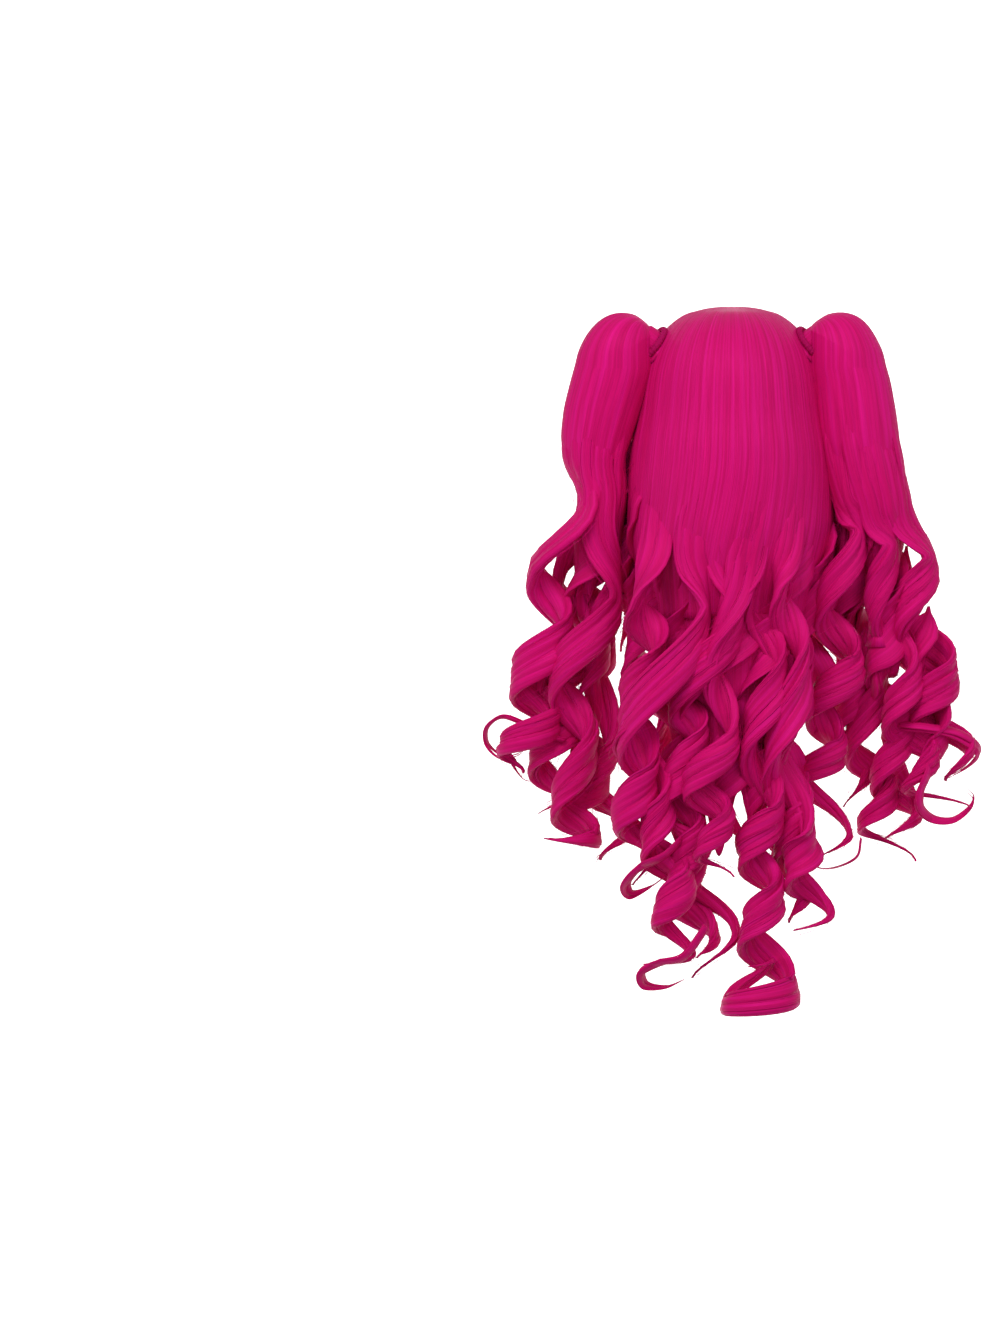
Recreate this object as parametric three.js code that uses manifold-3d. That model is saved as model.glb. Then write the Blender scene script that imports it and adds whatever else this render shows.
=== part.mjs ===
// A long curly wig with two clip-on pigtails, as worn, in millimetres.
// +Z is up and the wearer faces +Y, so the back of the wig faces -Y and the wearer's left is at -X.
// The origin is the top of the cap's hollow, where the crown of the head sits.
// Azimuths turn round the head from the back: 0 is the back, 90 the +X side and 180 the face.
// Polar angles run down from the top of the crown: 90 is the widest level of the head.
import * as THREE from "three";
import { mergeVertices } from "three/addons/utils/BufferGeometryUtils.js";
import Module from "manifold-3d";

// Head and cap
const HEAD_WIDTH = 156;
const HEAD_LENGTH = 194;
const CROWN_HEIGHT = 104;
const NAPE_HEIGHT = 90;
const CAP_WALL = 2;
const HEAD_ROUNDNESS = 2.5;
const RIM_POLAR_FRONT = 66;
const RIM_POLAR_BACK = 116;

// Hair that lies on the cap
const HAIR_GAP = 0.4;
const CROWN_HAIR_TOP = 8;
const CROWN_HAIR_SIDE = 14;
const CROWN_HAIR_BACK = 14;
const CROWN_HAIR_FRONT = 7;

// Clearances where hair or a tie rests on the crown, and between hair that hangs side by side
const SEAT_GAP = 0.4;
const HAIR_CLEARANCE = 3;

// How deep a hanging lock is pressed into the crown's hair before it is cut to fit there
const HANGING_BITE = 3;

// Smallest step kept in a surface
const FINEST_STEP = 1.4;

// Fringe over the forehead
const FRINGE_TOP = 36;
const FRINGE_LENGTH = 66;
const FRINGE_THICKNESS = 8;
const FRINGE_HALF_SPAN = 42;
const FRINGE_LOCK_WIDTH = 34;

// Locks that frame the face
const SIDE_LOCK_AZIMUTH = 112;
const SIDE_LOCK_TOP = 60;
const SIDE_LOCK_LENGTH = 175;
const SIDE_LOCK_WIDTH = 38;
const SIDE_LOCK_THICKNESS = 10;
const SIDE_LOCK_WAVE = 9;

// Curtain of hair behind the head, and the curls that it ends in
const CURTAIN_TOP = 70;
const CURTAIN_LENGTH = 480;
const CURTAIN_THICKNESS = 26;
const CURTAIN_HALF_SPAN = 72;
const FALL_HALF_WIDTH = 100;
const FALL_BACK = 9;
const FALL_CURL_TOP = 200;
const FALL_CURL_LENGTH = 490;

// Pigtails, and the curls that they end in
const PIGTAIL_RISE = 3;
const PIGTAIL_OUT = 14;
const PIGTAIL_LENGTH = 350;
const PIGTAIL_HALF_WIDTH = 41;
const PIGTAIL_HALF_DEPTH = 36;
const PIGTAIL_BACK = 32;
const PIGTAIL_CURL_OUT = 22;
const PIGTAIL_CURL_TOP = 180;
const PIGTAIL_CURL_SPREAD = 120;
const PIGTAIL_CURL_LENGTH = 380;

// Elastic tie round the root of each pigtail
const TIE_POLAR = 55;
const TIE_RADIUS = 15;
const TIE_CORD = 3.2;
const ROOT_DEPTH = 12;
const ROOT_REACH = 17;
const ROOT_DROP = 30;
const ROOT_FLARE = 27;

// Curls
const LOCK_WIDTH = 42;
const LOCK_THICKNESS = 15;
const CURL_DEPTH_SHARE = 0.8;
const TIP_SHARE = 0.6;
const TIP_FROM = 0.75;
const START_SHARE = 0.35;
const START_UNTIL = 0.2;

// Each row is a level of the curtain from its top edge down. down is a share of CURTAIN_LENGTH.
// off, how far the level stands off the cap, and thick are shares of CURTAIN_THICKNESS. span is a
// share of CURTAIN_HALF_SPAN. ripple is the depth of the grooves between its locks, a share of thick.
const CURTAIN_LEVELS = [
  { down: 0.0, off: 0.0, thick: 0.6, span: 0.8, ripple: 0.0 },
  { down: 0.042, off: 0.0, thick: 0.68, span: 0.98, ripple: 0.03 },
  { down: 0.11, off: 0.0, thick: 0.85, span: 1.1, ripple: 0.06 },
  { down: 0.19, off: 0.0, thick: 0.98, span: 1.13, ripple: 0.09 },
  { down: 0.28, off: 0.05, thick: 0.95, span: 1.13, ripple: 0.12 },
  { down: 0.375, off: 0.08, thick: 0.85, span: 1.08, ripple: 0.15 },
  { down: 0.48, off: 0.12, thick: 0.7, span: 0.96, ripple: 0.18 },
  { down: 0.6, off: 0.17, thick: 0.6, span: 0.76, ripple: 0.18 },
  { down: 0.8, off: 0.2, thick: 0.45, span: 0.54, ripple: 0.15 },
  { down: 1.0, off: 0.25, thick: 0.3, span: 0.26, ripple: 0.0 },
];

// Each row is a lock of the fringe. turn is its place round the forehead, a share of
// FRINGE_HALF_SPAN, long is a share of FRINGE_LENGTH, and lean turns its tip the same way as turn.
const FRINGE_LOCKS = [
  { turn: -1.0, long: 1.0, lean: -0.12 },
  { turn: -0.67, long: 0.93, lean: -0.06 },
  { turn: -0.33, long: 0.97, lean: -0.08 },
  { turn: 0.0, long: 0.9, lean: 0.04 },
  { turn: 0.33, long: 0.96, lean: -0.02 },
  { turn: 0.67, long: 0.92, lean: 0.07 },
  { turn: 1.0, long: 0.99, lean: 0.1 },
];

// Each row is a level of a pigtail's gathered hair. down is a share of PIGTAIL_LENGTH, out moves the
// section away from the head and half is its half-width, both shares of PIGTAIL_HALF_WIDTH.
const BUNDLE_LEVELS = {
  left: [
    { down: 0.0, out: 0.02, half: 0.28 },
    { down: 0.018, out: 0.02, half: 0.56 },
    { down: 0.042, out: 0.05, half: 0.78 },
    { down: 0.08, out: 0.1, half: 0.91 },
    { down: 0.18, out: 0.27, half: 1.0 },
    { down: 0.27, out: 0.49, half: 0.97 },
    { down: 0.36, out: 0.66, half: 0.88 },
    { down: 0.44, out: 0.71, half: 0.76 },
    { down: 0.52, out: 0.56, half: 0.72 },
    { down: 0.62, out: 0.7, half: 0.92 },
    { down: 0.75, out: 0.86, half: 0.92 },
    { down: 0.89, out: 0.84, half: 0.66 },
    { down: 1.0, out: 0.8, half: 0.3 },
  ],
  right: [
    { down: 0.0, out: -0.02, half: 0.28 },
    { down: 0.018, out: -0.02, half: 0.56 },
    { down: 0.042, out: -0.03, half: 0.78 },
    { down: 0.08, out: 0.0, half: 0.91 },
    { down: 0.19, out: 0.24, half: 0.98 },
    { down: 0.28, out: 0.34, half: 1.02 },
    { down: 0.37, out: 0.43, half: 1.04 },
    { down: 0.48, out: 0.62, half: 1.02 },
    { down: 0.57, out: 0.92, half: 1.04 },
    { down: 0.68, out: 1.05, half: 1.0 },
    { down: 0.8, out: 1.02, half: 0.9 },
    { down: 0.92, out: 1.0, half: 0.6 },
    { down: 1.0, out: 1.0, half: 0.3 },
  ],
};

// Each row is a level of a pigtail's root, which bends from under the crown's hair, through the tie,
// to the middle of the pigtail. at is its place on that path, and flare runs from the tie's radius
// at 0 to ROOT_FLARE at 1.
const ROOT_LEVELS = [
  { at: 0.0, flare: 0.0 },
  { at: 0.35, flare: 0.0 },
  { at: 0.6, flare: 0.35 },
  { at: 0.8, flare: 0.75 },
  { at: 1.0, flare: 1.0 },
];

// Each row is a curl. across and down place its turning points from the root to the tip, in
// hundredths. Behind the head across is measured from the middle and follows FALL_HALF_WIDTH, and
// down follows FALL_CURL_LENGTH. On a pigtail across is measured outwards and follows
// PIGTAIL_CURL_SPREAD, and down follows PIGTAIL_CURL_LENGTH. wide is a share of LOCK_WIDTH. back
// is how far behind the middle of its group the curl starts and ends, in shares of LOCK_WIDTH.
const BACK_CURLS = [
  {
    wide: 1.15,
    back: [-0.1, 0.1],
    across: [-75, -90, -70, -102, -78, -108, -75, -96],
    down: [2, 17, 28, 41, 52, 61, 68, 75],
  },
  {
    wide: 1.05,
    back: [0.0, 0.2],
    across: [-38, -25, -105, -62, -80, -40, -70, -35, -84],
    down: [3, 19, 45, 56, 66, 73, 80, 88, 90],
  },
  {
    wide: 1.1,
    back: [-0.1, -0.2],
    across: [-8, 7, -54, -27, -62, -28, -54, 8, -38],
    down: [3, 21, 37.5, 45, 55, 63, 71, 83.5, 94],
  },
  {
    wide: 0.9,
    back: [0.0, 0.6],
    across: [12, -18, 4, -40, -2, -30, 6],
    down: [9, 30, 44, 53, 60, 67, 72],
  },
  {
    wide: 1.0,
    back: [-0.1, 0.3],
    across: [22, 14, 50, 20, 46, 15, 48, 17, 60, 0, 30],
    down: [5, 17, 30, 45, 59, 67, 75, 83.5, 94, 97.5, 96],
  },
  {
    wide: 1.0,
    back: [-0.1, 0.1],
    across: [60, 47, 72, 41, 79, 62, 100, 48],
    down: [3, 15, 28.6, 48, 64, 71, 80, 84],
  },
  {
    wide: 0.8,
    back: [-0.3, -0.4],
    across: [70, 50, 74, 50, 76, 60],
    down: [38, 48, 58, 67, 76, 82],
  },
  {
    wide: 0.8,
    back: [-0.2, -0.5],
    across: [-60, -30, -52, -14, -32],
    down: [60, 68, 77, 85, 90],
  },
];
const PIGTAIL_CURLS = {
  left: [
    {
      wide: 1.1,
      back: [0.3, 0.2],
      across: [-10, 56, 27, 70, 37, 83, 65],
      down: [-2, 21, 35, 49, 59.5, 66, 73.4],
    },
    {
      wide: 1.0,
      back: [0.5, 0.4],
      across: [2, -12.5, 37, 7, 36, 2, 54],
      down: [4, 27, 50, 65, 82, 92, 91],
    },
    {
      wide: 0.8,
      back: [-0.2, -0.1],
      across: [-5, -12, 7, -10, 10, -25, 0],
      down: [2, 22, 44.5, 66, 77, 88, 97],
    },
    {
      wide: 0.9,
      back: [-0.6, -0.9],
      across: [8, 37, 8, 53, 21, 46],
      down: [1, 25, 40.5, 56, 69.5, 80],
    },
    {
      wide: 0.9,
      back: [-0.2, -0.3],
      across: [30, 50, 22, 56, 30, 54],
      down: [40, 51, 60, 71, 80, 86],
    },
  ],
  right: [
    {
      wide: 1.1,
      back: [0.2, 0.0],
      across: [21, 57, 33, 76, 46, 92, 71],
      down: [1, 16.5, 33, 46, 57, 67, 75],
    },
    {
      wide: 0.9,
      back: [0.4, 0.2],
      across: [8, 25, 10, 46, 23, 62, 36, 93],
      down: [2, 13, 30.5, 46, 58, 68, 77, 82],
    },
    {
      wide: 0.9,
      back: [0.5, 0.5],
      across: [-17, -2, -33, -3, -38, -18, -48, -8, -35],
      down: [-2, 10, 30, 44, 54, 66, 74, 89, 96],
    },
    {
      wide: 0.9,
      back: [-0.4, -0.3],
      across: [-8, -21, 17, -7, 27.5, 2, 48],
      down: [2, 27, 49, 67, 77, 88, 97],
    },
    {
      wide: 0.9,
      back: [-0.2, -0.2],
      across: [36, 14, 42, 14, 48, 20],
      down: [38, 50, 62, 74, 84, 92],
    },
    {
      wide: 0.8,
      back: [-0.8, -0.6],
      across: [-34, 8, -22, 8, -14],
      down: [33, 50, 62, 74, 84],
    },
  ],
};

// How finely the surfaces are divided
const HEAD_STEPS_ROUND = 24;
const HEAD_STEPS_DOWN = 6;
const CURTAIN_STEPS = 14;
const BUNDLE_STEPS = 12;
const CURL_STEPS_PER_FOLD = 4;
const CURL_SIDES = 4;
const HANGING_STEPS = 5;
const HANGING_SIDES = 6;
const TIE_STEPS = 14;
const TIE_SIDES = 6;

const wasm = await Module();
wasm.setup();

// Follow-on sizes
const CAP = {
  width: HEAD_WIDTH / 2 + CAP_WALL,
  back: HEAD_LENGTH / 2 + CAP_WALL,
  front: HEAD_LENGTH / 2 + CAP_WALL,
  top: CROWN_HEIGHT + CAP_WALL,
};
const HOLLOW = grownHead(CAP, -CAP_WALL);
const CROWN_INNER = grownHead(CAP, HAIR_GAP);
const CROWN = {
  width: CROWN_INNER.width + CROWN_HAIR_SIDE,
  back: CROWN_INNER.back + CROWN_HAIR_BACK,
  front: CROWN_INNER.front + CROWN_HAIR_FRONT,
  top: CROWN_INNER.top + CROWN_HAIR_TOP,
};

function grownHead(head, by) {
  return {
    width: head.width + by,
    back: head.back + by,
    front: head.front + by,
    top: head.top + by,
  };
}

// A power that keeps the sign of its base.
function signedPower(base, exponent) {
  return Math.sign(base) * Math.abs(base) ** exponent;
}

// A point on a head-shaped surface, at an azimuth and a polar angle in degrees.
function onHead(head, azimuth, polar) {
  const a = THREE.MathUtils.degToRad(azimuth);
  const p = THREE.MathUtils.degToRad(polar);
  const reach = Math.sin(p) ** (2 / HEAD_ROUNDNESS);
  const height = polar < 90 ? head.top : NAPE_HEIGHT;
  const length = Math.cos(a) > 0 ? head.back : head.front;
  return new THREE.Vector3(
    head.width * reach * Math.sin(a),
    -length * reach * Math.cos(a),
    height * signedPower(Math.cos(p), 2 / HEAD_ROUNDNESS) - CROWN_HEIGHT,
  );
}

// The half-width and half-lengths of a head-shaped surface at a height. Below its widest level it
// hangs straight down, as hair does.
function sectionAt(head, z) {
  const up = THREE.MathUtils.clamp((z + CROWN_HEIGHT) / head.top, 0, 1);
  const reach = (1 - up ** HEAD_ROUNDNESS) ** (1 / HEAD_ROUNDNESS);
  return { width: head.width * reach, back: head.back * reach, front: head.front * reach };
}

// The rim runs high over the forehead and low on the nape.
function rimPolar(azimuth) {
  const share = (1 + Math.cos(THREE.MathUtils.degToRad(azimuth))) / 2;
  return THREE.MathUtils.lerp(RIM_POLAR_FRONT, RIM_POLAR_BACK, share);
}

// A closed solid from flat lists of points and triangles, turned to face outwards.
function solidFrom(points, triangles) {
  const flat = new Float32Array(points.flatMap((p) => [p.x, p.y, p.z]));
  const make = (faces) =>
    new wasm.Manifold(
      new wasm.Mesh({ numProp: 3, vertProperties: flat, triVerts: new Uint32Array(faces.flat()) }),
    );
  const solid = make(triangles);
  return solid.volume() > 0 ? solid : make(triangles.map(([a, b, c]) => [a, c, b]));
}

// A solid through rings of equally many points, an even number. Each end is closed by strips
// between opposite points, so that a bent ring closes inside its own outline.
function loftSolid(rings) {
  const count = rings[0].length;
  const last = (rings.length - 1) * count;
  const triangles = [];
  for (let r = 0; r < rings.length - 1; r++) {
    for (let i = 0; i < count; i++) {
      const a = r * count + i;
      const b = r * count + ((i + 1) % count);
      triangles.push([a, b, b + count], [a, b + count, a + count]);
    }
  }
  for (let i = 0; i < count / 2 - 1; i++) {
    const [a, b, c, d] = [i, i + 1, count - 2 - i, count - 1 - i];
    triangles.push([a, c, b], [a, d, c]);
    triangles.push([last + a, last + b, last + c], [last + a, last + c, last + d]);
  }
  return solidFrom(rings.flat(), triangles);
}

// The points of a head-shaped surface from its top to its rim, ring by ring below the top point.
function headGrid(head) {
  const points = [onHead(head, 0, 0)];
  for (let d = 1; d <= HEAD_STEPS_DOWN; d++) {
    for (let i = 0; i < HEAD_STEPS_ROUND; i++) {
      const azimuth = (360 * i) / HEAD_STEPS_ROUND;
      points.push(onHead(head, azimuth, (rimPolar(azimuth) * d) / HEAD_STEPS_DOWN));
    }
  }
  return points;
}

// The triangles of that grid, with its points counted from start.
function headTriangles(start) {
  const triangles = [];
  for (let i = 0; i < HEAD_STEPS_ROUND; i++) {
    const next = (i + 1) % HEAD_STEPS_ROUND;
    triangles.push([start, start + 1 + i, start + 1 + next]);
    for (let d = 0; d < HEAD_STEPS_DOWN - 1; d++) {
      const a = start + 1 + d * HEAD_STEPS_ROUND + i;
      const b = start + 1 + d * HEAD_STEPS_ROUND + next;
      triangles.push([a, a + HEAD_STEPS_ROUND, b + HEAD_STEPS_ROUND], [a, b + HEAD_STEPS_ROUND, b]);
    }
  }
  return triangles;
}

// A hollow wall between two head-shaped surfaces, open below the rim.
function headWall(inner, outer) {
  const points = [...headGrid(outer), ...headGrid(inner)];
  const half = points.length / 2;
  const triangles = [
    ...headTriangles(0),
    ...headTriangles(half).map(([a, b, c]) => [a, c, b]),
  ];
  const rim = half - HEAD_STEPS_ROUND;
  for (let i = 0; i < HEAD_STEPS_ROUND; i++) {
    const a = rim + i;
    const b = rim + ((i + 1) % HEAD_STEPS_ROUND);
    triangles.push([a, a + half, b + half], [a, b + half, b]);
  }
  return solidFrom(points, triangles);
}

// The head-shaped surface filled in, with a cone below its rim so that it holds the whole wall.
function headSolid(head) {
  const points = headGrid(head);
  const rim = points.length - HEAD_STEPS_ROUND;
  const centre = points.length;
  points.push(new THREE.Vector3(0, 0, -CROWN_HEIGHT - NAPE_HEIGHT));
  const triangles = headTriangles(0);
  for (let i = 0; i < HEAD_STEPS_ROUND; i++) {
    triangles.push([rim + i, centre, rim + ((i + 1) % HEAD_STEPS_ROUND)]);
  }
  return solidFrom(points, triangles);
}

// The curtain: a sheet of hair that wraps round the back of the head, grooved between its locks.
function curtainSolid() {
  const rings = CURTAIN_LEVELS.map((level) => {
    const z = -CURTAIN_TOP - level.down * CURTAIN_LENGTH;
    const section = sectionAt(CAP, z);
    const arcPoint = (step, offset) => {
      const share = (2 * step) / CURTAIN_STEPS - 1;
      const angle = THREE.MathUtils.degToRad(share * CURTAIN_HALF_SPAN * level.span);
      return new THREE.Vector3(
        (section.width + offset) * Math.sin(angle),
        -(section.back + offset) * Math.cos(angle),
        z,
      );
    };
    const inside = HAIR_GAP + level.off * CURTAIN_THICKNESS;
    const steps = Array.from({ length: CURTAIN_STEPS + 1 }, (_, i) => i);
    const outside = (step) =>
      inside + level.thick * CURTAIN_THICKNESS * (1 - (step % 2 ? 0 : level.ripple));
    return [
      ...steps.map((step) => arcPoint(step, inside)),
      ...steps.reverse().map((step) => arcPoint(step, outside(step))),
    ];
  });
  return loftSolid(rings);
}

// The centreline of a curl: it swings from fold to fold like a cosine, and bows forwards and
// backwards between them, so that the ribbon winds round like a corkscrew.
function curlPoint(curl, at) {
  const last = curl.folds.length - 1;
  const fold = Math.min(Math.floor(at), last - 1);
  const share = at - fold;
  const [x0, z0] = curl.folds[fold];
  const [x1, z1] = curl.folds[fold + 1];
  const swing = (1 - Math.cos(Math.PI * share)) / 2;
  const startsRight = curl.folds[0][0] > curl.folds[1][0];
  const turn = Math.PI * (at + (startsRight ? 0 : 1));
  const reach = (Math.abs(x1 - x0) / 2) * CURL_DEPTH_SHARE;
  const depth = THREE.MathUtils.lerp(curl.back[0], curl.back[1], at / last) * LOCK_WIDTH;
  const point = new THREE.Vector3(
    THREE.MathUtils.lerp(x0, x1, swing),
    -depth - reach * Math.sin(turn),
    -THREE.MathUtils.lerp(z0, z1, share),
  );
  return { point, outward: new THREE.Vector3(Math.cos(turn), -Math.sin(turn), 0) };
}

// A ring of a flat lock: points round a flattened section, across and out being its two directions.
function lockRing({ centre, across, out, halfWidth, halfThick, count }) {
  return Array.from({ length: count }, (_, i) => {
    const angle = (2 * Math.PI * i) / count;
    return centre
      .clone()
      .addScaledVector(across, halfWidth * Math.cos(angle))
      .addScaledVector(out, halfThick * Math.sin(angle));
  });
}

// How much of its full width a lock has at a share of its length, narrowing to its tip.
function tipTaper(share) {
  return THREE.MathUtils.lerp(1, TIP_SHARE, THREE.MathUtils.smoothstep(share, TIP_FROM, 1));
}

// How much of its full width a curl has where it comes out of the hair above it.
function startTaper(share) {
  return THREE.MathUtils.lerp(START_SHARE, 1, THREE.MathUtils.smoothstep(share, 0, START_UNTIL));
}

// A curl as a flat ribbon of hair swept along its centreline, narrowing to its tip.
function curlSolid(curl, origin, grow) {
  const steps = (curl.folds.length - 1) * CURL_STEPS_PER_FOLD;
  const rings = [];
  for (let s = 0; s <= steps; s++) {
    const here = curlPoint(curl, s / CURL_STEPS_PER_FOLD);
    const before = curlPoint(curl, Math.max(s - 0.5, 0) / CURL_STEPS_PER_FOLD).point;
    const after = curlPoint(curl, Math.min(s + 0.5, steps) / CURL_STEPS_PER_FOLD).point;
    const along = after.sub(before).normalize();
    const across = new THREE.Vector3().crossVectors(along, here.outward).normalize();
    const out = new THREE.Vector3().crossVectors(across, along);
    const taper = tipTaper(s / steps) * startTaper(s / steps);
    const ends = s === 0 ? -grow : s === steps ? grow : 0;
    rings.push(
      lockRing({
        centre: here.point.clone().add(origin).addScaledVector(along, ends),
        across,
        out,
        halfWidth: (LOCK_WIDTH / 2) * curl.wide * taper + grow,
        halfThick: (LOCK_THICKNESS / 2) * taper + grow,
        count: CURL_SIDES,
      }),
    );
  }
  return loftSolid(rings);
}

// A curl's table row in millimetres, for its group's sizes and its side of the head.
function sizedCurl(row, acrossSize, downSize, side) {
  const folds = row.across.map((across, i) => [
    (side * across * acrossSize) / 100,
    (row.down[i] * downSize) / 100,
  ]);
  return { wide: row.wide, back: row.back, folds };
}

const sides = { left: -1, right: 1 };
const widestX = CROWN.width + PIGTAIL_OUT;

// The gathered hair of a pigtail, a stack of oval sections that stands beside the crown.
function bundleSolid(name, grow) {
  const levels = BUNDLE_LEVELS[name];
  const rings = levels.map((level, index) => {
    const ends = index === 0 ? grow : index === levels.length - 1 ? -grow : 0;
    return lockRing({
      centre: new THREE.Vector3(
        sides[name] * (widestX + level.out * PIGTAIL_HALF_WIDTH),
        -PIGTAIL_BACK,
        PIGTAIL_RISE - level.down * PIGTAIL_LENGTH + ends,
      ),
      across: new THREE.Vector3(1, 0, 0),
      out: new THREE.Vector3(0, 1, 0),
      halfWidth: level.half * PIGTAIL_HALF_WIDTH + grow,
      halfThick: level.half * PIGTAIL_HALF_DEPTH + grow,
      count: BUNDLE_STEPS,
    });
  });
  return loftSolid(rings);
}

// Where a pigtail is gathered on the crown, and the way that its hair leaves the head there.
function tieFrame(name) {
  const azimuth = THREE.MathUtils.radToDeg(Math.atan2(CROWN.width, PIGTAIL_BACK));
  const seat = onHead(CROWN, sides[name] * azimuth, TIE_POLAR);
  const step = onHead(grownHead(CROWN, 1), sides[name] * azimuth, TIE_POLAR);
  return { seat, away: step.sub(seat).normalize() };
}

function tieSolid(name, grow) {
  const { seat, away } = tieFrame(name);
  const ring = new THREE.TorusGeometry(TIE_RADIUS + TIE_CORD, TIE_CORD + grow, TIE_SIDES, TIE_STEPS);
  ring.applyQuaternion(new THREE.Quaternion().setFromUnitVectors(new THREE.Vector3(0, 0, 1), away));
  ring.translate(...seat.addScaledVector(away, TIE_CORD + SEAT_GAP).toArray());
  return toSolid(ring);
}

// The gathered root that passes through the tie and flares out into the pigtail.
function rootSolid(name, grow) {
  const { seat, away } = tieFrame(name);
  const path = new THREE.QuadraticBezierCurve3(
    seat.clone().addScaledVector(away, -ROOT_DEPTH),
    seat.clone().addScaledVector(away, ROOT_REACH),
    new THREE.Vector3(sides[name] * widestX, -PIGTAIL_BACK, -ROOT_DROP),
  );
  const rings = ROOT_LEVELS.map((level) => {
    const along = path.getTangent(level.at);
    const across = new THREE.Vector3(0, 1, 0).cross(along).normalize();
    const radius = THREE.MathUtils.lerp(TIE_RADIUS - SEAT_GAP, ROOT_FLARE, level.flare) + grow;
    return lockRing({
      centre: path.getPoint(level.at),
      across,
      out: along.cross(across),
      halfWidth: radius,
      halfThick: radius,
      count: BUNDLE_STEPS,
    });
  });
  return loftSolid(rings);
}

// A geometry as a solid that can be joined and cut.
function toSolid(geometry) {
  const bare = new THREE.BufferGeometry();
  bare.setAttribute("position", geometry.getAttribute("position"));
  bare.setIndex(geometry.index);
  const merged = mergeVertices(bare, 1e-3);
  return new wasm.Manifold(
    new wasm.Mesh({
      numProp: 3,
      vertProperties: merged.attributes.position.array,
      triVerts: new Uint32Array(merged.index.array),
    }),
  );
}

// A joined or cut solid as a geometry.
function toGeometry(solid) {
  const made = solid.getMesh();
  const geometry = new THREE.BufferGeometry();
  geometry.setAttribute("position", new THREE.BufferAttribute(made.vertProperties, 3));
  geometry.setIndex(new THREE.BufferAttribute(made.triVerts, 1));
  geometry.computeVertexNormals();
  return geometry;
}

// Solids joined into one, with the slivers where they cross cleaned away.
function joined(solids) {
  return solids.reduce((sum, solid) => sum.add(solid)).simplify(FINEST_STEP);
}

// The largest body of a solid, so that a sliver cut off by a neighbour is dropped.
function mainBody(solid) {
  return solid.decompose().reduce((best, body) => (body.volume() > best.volume() ? body : best));
}

// A pigtail before it is fitted to the crown and its tie.
function pigtailShape(name, grow) {
  const origin = new THREE.Vector3(
    sides[name] * (widestX + PIGTAIL_CURL_OUT),
    -PIGTAIL_BACK,
    -PIGTAIL_CURL_TOP,
  );
  const curls = PIGTAIL_CURLS[name].map((row) =>
    curlSolid(
      sizedCurl(row, PIGTAIL_CURL_SPREAD, PIGTAIL_CURL_LENGTH, sides[name]),
      origin,
      grow,
    ),
  );
  return joined([bundleSolid(name, grow), rootSolid(name, grow), ...curls]);
}

function pigtailSolid(name) {
  return mainBody(
    pigtailShape(name, 0)
      .subtract(headSolid(grownHead(CROWN, SEAT_GAP)))
      .subtract(tieSolid(name, SEAT_GAP)),
  );
}

function backHairSolid() {
  const origin = new THREE.Vector3(0, -CAP.back - FALL_BACK, -FALL_CURL_TOP);
  const curls = BACK_CURLS.map((row) =>
    curlSolid(sizedCurl(row, FALL_HALF_WIDTH, FALL_CURL_LENGTH, 1), origin, 0),
  );
  return mainBody(
    joined([curtainSolid(), ...curls])
      .subtract(headSolid(grownHead(CROWN, SEAT_GAP)))
      .subtract(pigtailShape("left", HAIR_CLEARANCE))
      .subtract(pigtailShape("right", HAIR_CLEARANCE)),
  );
}

// A lock that hangs from the crown in front: a flat ribbon that follows the head and then drops.
function hangingLock({ azimuth, top, length, width, thickness, lean, wave }) {
  const rings = [];
  for (let s = 0; s <= HANGING_STEPS; s++) {
    const share = s / HANGING_STEPS;
    const z = -top - share * length;
    const onCrown = sectionAt(CROWN, z);
    const onFace = sectionAt(CAP, z);
    const fallen = THREE.MathUtils.smoothstep(share, 0, 1);
    const angle = THREE.MathUtils.degToRad(azimuth + lean * share);
    const seat = THREE.MathUtils.lerp(-HANGING_BITE, HAIR_GAP, fallen);
    const offset = seat + thickness / 2 + wave * Math.sin(2 * Math.PI * share);
    rings.push(
      lockRing({
        centre: new THREE.Vector3(
          (THREE.MathUtils.lerp(onCrown.width, onFace.width, fallen) + offset) * Math.sin(angle),
          -(THREE.MathUtils.lerp(onCrown.front, onFace.front, fallen) + offset) * Math.cos(angle),
          z,
        ),
        across: new THREE.Vector3(-Math.cos(angle), -Math.sin(angle), 0),
        out: new THREE.Vector3(Math.sin(angle), -Math.cos(angle), 0),
        halfWidth: (width / 2) * tipTaper(share),
        halfThick: (thickness / 2) * tipTaper(share),
        count: HANGING_SIDES,
      }),
    );
  }
  return loftSolid(rings);
}

function fringeSolid() {
  const locks = FRINGE_LOCKS.map((lock) =>
    hangingLock({
      azimuth: 180 + lock.turn * FRINGE_HALF_SPAN,
      top: FRINGE_TOP,
      length: lock.long * FRINGE_LENGTH,
      width: FRINGE_LOCK_WIDTH,
      thickness: FRINGE_THICKNESS,
      lean: lock.lean * FRINGE_HALF_SPAN,
      wave: 0,
    }),
  );
  return mainBody(joined(locks).subtract(headSolid(grownHead(CROWN, SEAT_GAP))));
}

function sideLockSolid(name) {
  const lock = hangingLock({
    azimuth: sides[name] * SIDE_LOCK_AZIMUTH,
    top: SIDE_LOCK_TOP,
    length: SIDE_LOCK_LENGTH,
    width: SIDE_LOCK_WIDTH,
    thickness: SIDE_LOCK_THICKNESS,
    lean: 0,
    wave: SIDE_LOCK_WAVE,
  });
  return mainBody(
    lock
      .subtract(headSolid(grownHead(CROWN, SEAT_GAP)))
      .subtract(pigtailShape(name, HAIR_CLEARANCE)),
  );
}

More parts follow.
